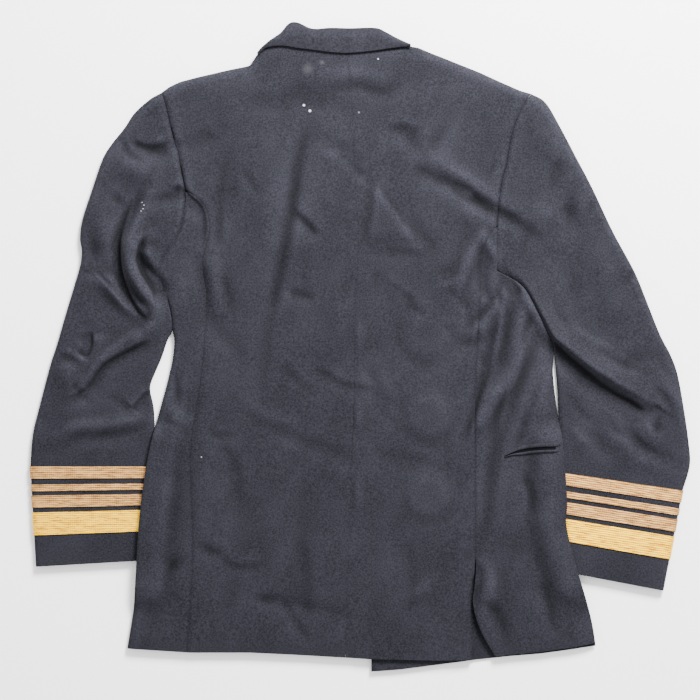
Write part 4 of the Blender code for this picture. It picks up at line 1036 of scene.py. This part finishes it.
def makeBody():
    rows = bodyRows(bodyStep)
    leftRows = rows[rows <= leftSeamPoints[0][1]]
    rightRows = rows[rows <= rightSeamPoints[0][1]]
    frontRows = bodyRows(frontStep)
    across = {
        "backLeft": bodyParts(bodyStep, 190),
        "backRight": bodyParts(bodyStep, 160),
        "sideLeft": bodyParts(bodyStep, 60, "start"),
        "sideRight": bodyParts(bodyStep, 90, "end"),
        "frontLeft": bodyParts(frontStep, 300, "start"),
        "frontRight": bodyParts(frontStep, 260, "end"),
    }
    back = (bodyHeight, True)
    left = (leftFrontBase, False, "start", underHem)
    right = (rightFrontBase, False, "end", yOfX(rightFrontHem))
    panel("backLeft", rows, (backLeftLine, centreSeam), across["backLeft"], *back)
    panel("backRight", rows, (centreSeam, backRightLine), across["backRight"], *back)
    panel("sideLeft", leftRows, (leftOutline, backLeftLine), across["sideLeft"], *back, "start")
    panel("sideRight", rightRows, (ventLine, rightOutline), across["sideRight"], *back, "end")
    panel("frontLeft", frontRows, (leftOutline, leftRoll), across["frontLeft"], *left)
    panel("frontRight", frontRows, (rightRoll, rightOutline), across["frontRight"], *right)


# Finishes
woolLook = {
    "shader": {
        "Roughness": 0.82, "Specular IOR Level": 0.08, "Sheen Roughness": 0.45,
        "Sheen Tint": (0.55, 0.57, 0.68, 1),
    },
    "lint": (0.55, 0.55, 0.58, 1), "dark": (0.0058, 0.0058, 0.0084, 1), "light": (0.0185, 0.0184, 0.0245, 1),
    # Painted highlight on crests and painted shade in creases and on seams
    "darkAt": 0.36, "lightAt": 0.64, "grain": 0.7, "crestHighlight": 0.22, "crease": 0.72, "sheen": 0.07,
    "twillTurn": 52, "twill": 620, "fibre": 1400, "mottle": 14, "fluff": 520, "bump": 0.22, "relief": 0.0004,
}
# Marks on the wool, lint and rubbed patches: centre, radius, strength
woolMarks = (
    ((-70.5, 301), 1.9, 1.6), ((-63, 294), 2.1, 1.6), ((-66, 346), 9, 0.045), ((-48, 354), 4, 0.06),
    ((22, 358.5), 1.2, 1.5), ((-198, -137), 1.1, 1.0), ((-2, 292), 1.6, 0.4), ((-272, 180), 0.8, 1.2),
    ((-269.5, 176.5), 0.8, 1.2), ((-270.5, 172), 0.8, 1.2), ((-273, 169), 0.8, 1.2),
)
markLook = {"ragged": 900, "core": 0.3}
# Lace colours run from the gaps between threads to the threads' tops, then the tone between them
laceLook = {
    "tan": ((0.16, 0.075, 0.026, 1), (0.58, 0.33, 0.11, 1), (0.43, 0.215, 0.06, 1)),
    "gold": ((0.42, 0.19, 0.001, 1), (1.0, 0.62, 0.001, 1), (0.93, 0.50, 0.001, 1)),
    "gapAt": 0.62, "topAt": 0.98, "betweenAt": 0.78, "shader": {"Roughness": 0.55, "Metallic": 0.7},
    "ribWidth": 2.7, "ribWaver": 2.2, "threadWidth": 2.6, "threadWaver": 1.4, "weave": 0.2, "threads": 0.4,
    "streaks": 1.3, "streakLength": 0.16, "streakSize": 420, "bump": 0.6, "relief": 0.0004,
    "threadRelief": 0.3,
}
laceTilt = {"left": 0.0, "right": -8.4}
# A wave texture of this scale repeats every millimetre
waveScale = 314.0
# Near-black lining in the pocket's slit: painted shade for the slit's shadow
slitLiningShadeShader = {"Base Color": (0.002, 0.002, 0.003, 1), "Specular IOR Level": 0.04, "Roughness": 0.7}
giltLook = {
    "dark": (0.52, 0.36, 0.13, 1), "light": (0.85, 0.66, 0.3, 1), "wear": 180, "smooth": 0.22, "rough": 0.42,
}


# Sets a node's inputs: a socket is wired in, any other value is typed in
def fill(tree, made, inputs):
    for name, value in inputs.items():
        if isinstance(value, bpy.types.NodeSocket):
            tree.links.new(value, made.inputs[name])
        else:
            made.inputs[name].default_value = value


def node(tree, kind, inputs, **settings):
    made = tree.nodes.new(kind)
    for name, value in settings.items():
        setattr(made, name, value)
    fill(tree, made, inputs)
    return made.outputs


def newFinish(name):
    material = bpy.data.materials.new(name)
    material.use_nodes = True
    tree = material.node_tree
    return material, tree, tree.nodes["Principled BSDF"]


def noise(tree, place, scale, detail, rough=0.5):
    inputs = {"Vector": place, "Scale": scale, "Detail": detail, "Roughness": rough}
    return node(tree, "ShaderNodeTexNoise", inputs)["Fac"]


def multiply(tree, first, second):
    return node(tree, "ShaderNodeMath", {0: first, 1: second}, operation="MULTIPLY")["Value"]


def multiplyAdd(tree, first, second, third):
    return node(tree, "ShaderNodeMath", {0: first, 1: second, 2: third}, operation="MULTIPLY_ADD")["Value"]


# A blend from one colour to the other between two places, with more colours at places between
def colourRamp(tree, factor, low, high, between=()):
    ramp = tree.nodes.new("ShaderNodeValToRGB")
    for stop, (place, colour) in zip(ramp.color_ramp.elements, (low, high)):
        stop.position = place
        stop.color = colour
    for place, colour in between:
        stop = ramp.color_ramp.elements.new(place)
        stop.color = colour
    tree.links.new(factor, ramp.inputs["Fac"])
    return ramp.outputs["Color"]


def bumped(tree, height, strength, distance):
    inputs = {"Height": height, "Strength": strength, "Distance": distance}
    return node(tree, "ShaderNodeBump", inputs)["Normal"]


# A pale fleck of lint or a rubbed patch, ragged at its edge
def addMark(tree, place, colour, centre, radius, strength):
    flat = node(tree, "ShaderNodeVectorMath", {0: place, 1: (1, 1, 0)}, operation="MULTIPLY")["Vector"]
    middle = (centre[0] * mm, centre[1] * mm, 0)
    away = node(tree, "ShaderNodeVectorMath", {0: flat, 1: middle}, operation="DISTANCE")["Value"]
    near = node(tree, "ShaderNodeMapRange", {
        "Value": away, "From Min": radius * mm, "From Max": radius * markLook["core"] * mm,
        "To Max": strength,
    })["Result"]
    share = multiply(tree, near, noise(tree, place, markLook["ragged"], 2.0))
    inputs = {"Factor": share, "A": colour, "B": woolLook["lint"]}
    return node(tree, "ShaderNodeMix", inputs, data_type="RGBA")["Result"]


def makeWool():
    material, tree, shader = newFinish("navyWool")
    place = node(tree, "ShaderNodeTexCoord", {})["Object"]
    turn = {"Vector": place, "Rotation": (0, 0, math.radians(woolLook["twillTurn"]))}
    turned = node(tree, "ShaderNodeMapping", turn)["Vector"]
    twill = node(tree, "ShaderNodeTexWave", {
        "Vector": turned, "Scale": woolLook["twill"], "Distortion": 1.2, "Detail": 1.0,
    })["Fac"]
    fibre = noise(tree, place, woolLook["fibre"], 3.0)
    fluff = noise(tree, place, woolLook["fluff"], 3.0)
    mottle = noise(tree, place, woolLook["mottle"], 5.0, 0.6)
    blend = multiplyAdd(tree, mottle, 1 - woolLook["grain"], multiply(tree, fluff, woolLook["grain"]))
    dark = (woolLook["darkAt"], woolLook["dark"])
    colour = colourRamp(tree, blend, dark, (woolLook["lightAt"], woolLook["light"]))
    # Painted shade: the colour is darker in creases and on seams and lighter on crests, and the sheen follows
    # it
    paintedShade = node(tree, "ShaderNodeAttribute", {}, attribute_name="paintedShade")["Fac"]
    shade = node(tree, "ShaderNodeMapRange", {
        "Value": paintedShade, "From Min": paintedShadeLook["crestHighlight"],
        "To Min": 1 + woolLook["crestHighlight"], "To Max": 1 - woolLook["crease"],
    })["Result"]
    marked = node(tree, "ShaderNodeVectorMath", {0: colour, "Scale": shade}, operation="SCALE")["Vector"]
    for centre, radius, strength in woolMarks:
        marked = addMark(tree, place, marked, centre, radius, strength)
    fill(tree, shader, woolLook["shader"])
    fill(tree, shader, {
        "Base Color": marked, "Sheen Weight": multiply(tree, shade, woolLook["sheen"]),
        "Normal": bumped(tree, multiply(tree, twill, fibre), woolLook["bump"], woolLook["relief"]),
    })
    return material


# Lace with ribs along it, finer threads across them, and long streaks of wear
def makeLace(name, colours, tilt):
    material, tree, shader = newFinish(name)
    place = node(tree, "ShaderNodeTexCoord", {})["Object"]
    turn = {"Vector": place, "Rotation": (0, 0, math.radians(-tilt))}
    turned = node(tree, "ShaderNodeMapping", turn)["Vector"]
    ribs = node(tree, "ShaderNodeTexWave", {
        "Vector": turned, "Scale": waveScale / laceLook["ribWidth"], "Distortion": laceLook["ribWaver"],
    }, bands_direction="Y")["Fac"]
    threads = node(tree, "ShaderNodeTexWave", {
        "Vector": turned, "Scale": waveScale / laceLook["threadWidth"], "Distortion": laceLook["threadWaver"],
    }, bands_direction="X")["Fac"]
    stretch = {"Vector": turned, "Scale": (laceLook["streakLength"], 1, 1)}
    stretched = node(tree, "ShaderNodeMapping", stretch)["Vector"]
    wear = noise(tree, stretched, laceLook["streakSize"], 4.0, 0.75)
    woven = multiplyAdd(tree, threads, laceLook["threads"], ribs)
    blend = multiplyAdd(tree, woven, laceLook["weave"], multiply(tree, wear, laceLook["streaks"]))
    gap, top, between = zip((laceLook["gapAt"], laceLook["topAt"], laceLook["betweenAt"]), colours)
    relief = multiplyAdd(tree, threads, laceLook["threadRelief"], ribs)
    fill(tree, shader, laceLook["shader"])
    fill(tree, shader, {
        "Base Color": colourRamp(tree, blend, gap, top, [between]),
        "Normal": bumped(tree, relief, laceLook["bump"], laceLook["relief"]),
    })
    return material


# Near-black lining for the pocket's slit, coloured as painted shade
def makeSlitLiningShade():
    material, tree, shader = newFinish("blackLiningSlitShade")
    fill(tree, shader, slitLiningShadeShader)
    return material


def makeGilt():
    material, tree, shader = newFinish("giltBrass")
    place = node(tree, "ShaderNodeTexCoord", {})["Object"]
    wear = noise(tree, place, giltLook["wear"], 4.0)
    rough = {"Value": wear, "To Min": giltLook["smooth"], "To Max": giltLook["rough"]}
    fill(tree, shader, {
        "Metallic": 1.0, "Base Color": colourRamp(tree, wear, (0, giltLook["dark"]), (1, giltLook["light"])),
        "Roughness": node(tree, "ShaderNodeMapRange", rough)["Result"],
    })
    return material


pieces = {}
wool = makeWool()
slitLiningShade = makeSlitLiningShade()
lace = {}
for side, tilt in laceTilt.items():
    lace[side] = {}
    for colour in ("tan", "gold"):
        lace[side][colour] = makeLace(f"{colour}Lace{side.capitalize()}", laceLook[colour], tilt)
gilt = makeGilt()
print("finishes made")
makeBody()
print("body made")
makeSleeve("left")
makeSleeve("right")
print("sleeves and lace made")
makeCollar()
makePocket()
print("collar and pocket made")

# Cut of each piece: its node, flat width and length in metres, flat area, what it lies on
cuts = {
    "backLeft": ("back_left", (0.26, 0.78), 0.156, "front_left"),
    "backRight": ("back_right", (0.24, 0.78), 0.131, "front_right"),
    "sideLeft": ("side_left", (0.12, 0.6), 0.0335, "front_left"),
    "sideRight": ("side_right", (0.17, 0.56), 0.054, "front_right"),
    "frontLeft": ("front_left", (0.42, 0.78), 0.235, "lapel_left"),
    "frontRight": ("front_right", (0.3, 0.8), 0.158, "front_left"),
    "upperSleeveLeft": ("top_sleeve_left", (0.22, 0.62), 0.079, "under_sleeve_left"),
    "upperSleeveRight": ("top_sleeve_right", (0.24, 0.64), 0.087, "under_sleeve_right"),
    "underSleeveLeft": ("under_sleeve_left", (0.21, 0.6), 0.077, "stripe_left_4"),
    "underSleeveRight": ("under_sleeve_right", (0.23, 0.62), 0.085, "stripe_right_4"),
    "collarFall": ("collar_fall", (0.19, 0.045), 0.0048, "back_left"),
    "collarStand": ("collar_stand", (0.18, 0.04), 0.0037, "back_left"),
}
trims = {"pocketJetUpper": "pocket_jet_upper", "pocketJetLower": "pocket_jet_lower", "pocketSlitLiningShade": None}
for side in ("Left", "Right"):
    names = [f"lace{side}{number}" for number in (1, 2, 3, 4)]
    trims.update({name: f"stripe_{side.lower()}_{name[-1]}" for name in names})
for name, cadNode in list(trims.items()) + [(name, cut[0]) for name, cut in cuts.items()]:
    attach(pieces[name], "root")
    if cadNode:
        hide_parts(cadNode)
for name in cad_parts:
    part = bpy.data.objects[name]
    look = gilt if name.startswith("button") else wool
    for slot in part.material_slots:
        slot.material = look

# Floor, light and camera, in metres
room = {"floor": 3.0, "drop": 0.0003, "pale": (0.94, 0.94, 0.94, 1), "rough": 0.9, "sky": 1.7}
lights = {
    "keyLight": {"power": 300.0, "size": 0.7, "place": (0.75, 1.7, 1.25)},
    "fillLight": {"power": 4.0, "size": 1.6, "place": (1.6, -0.5, 1.6)},
}
viewer = {"place": (-0.0131, -0.00375, 2.6), "field": 0.875, "sensor": 36}


def makeFloor():
    bm = bmesh.new()
    bmesh.ops.create_grid(bm, x_segments=1, y_segments=1, size=room["floor"])
    mesh = bpy.data.meshes.new("floor")
    bm.to_mesh(mesh)
    bm.free()
    floor = bpy.data.objects.new("floor", mesh)
    floor.location.z = -room["drop"]
    bpy.context.scene.collection.objects.link(floor)
    paper, tree, shader = newFinish("paleFloor")
    fill(tree, shader, {"Base Color": room["pale"], "Roughness": room["rough"]})
    mesh.materials.append(paper)
    return floor


# A soft square lamp that faces the middle of the floor
def softLight(name, power, size, place):
    lamp = bpy.data.lights.new(name, "AREA")
    lamp.energy = power
    lamp.size = size
    holder = bpy.data.objects.new(name, lamp)
    holder.location = place
    wayX, wayY, wayZ = (-value for value in place)
    lean = math.atan2(math.hypot(wayX, wayY), -wayZ)
    holder.rotation_euler = (lean, 0, math.atan2(wayY, wayX) - math.pi / 2)
    bpy.context.scene.collection.objects.link(holder)


makeFloor()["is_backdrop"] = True
world = bpy.data.worlds.new("softRoom")
world.use_nodes = True
sky = {"Color": (1, 1, 1, 1), "Strength": room["sky"]}
fill(world.node_tree, world.node_tree.nodes["Background"], sky)
bpy.context.scene.world = world
for name, light in lights.items():
    softLight(name, **light)
lens = bpy.data.cameras.new("camera")
lens.sensor_width = viewer["sensor"]
lens.lens = viewer["sensor"] * viewer["place"][2] / viewer["field"]
camera = bpy.data.objects.new("camera", lens)
camera.location = viewer["place"]
bpy.context.scene.collection.objects.link(camera)
bpy.context.scene.camera = camera
print("light and camera set")

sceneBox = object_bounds()
boxes = {"cad": cadBox, "scene": sceneBox}
boxes = {name: [[float(value) for value in corner] for corner in box] for name, box in boxes.items()}
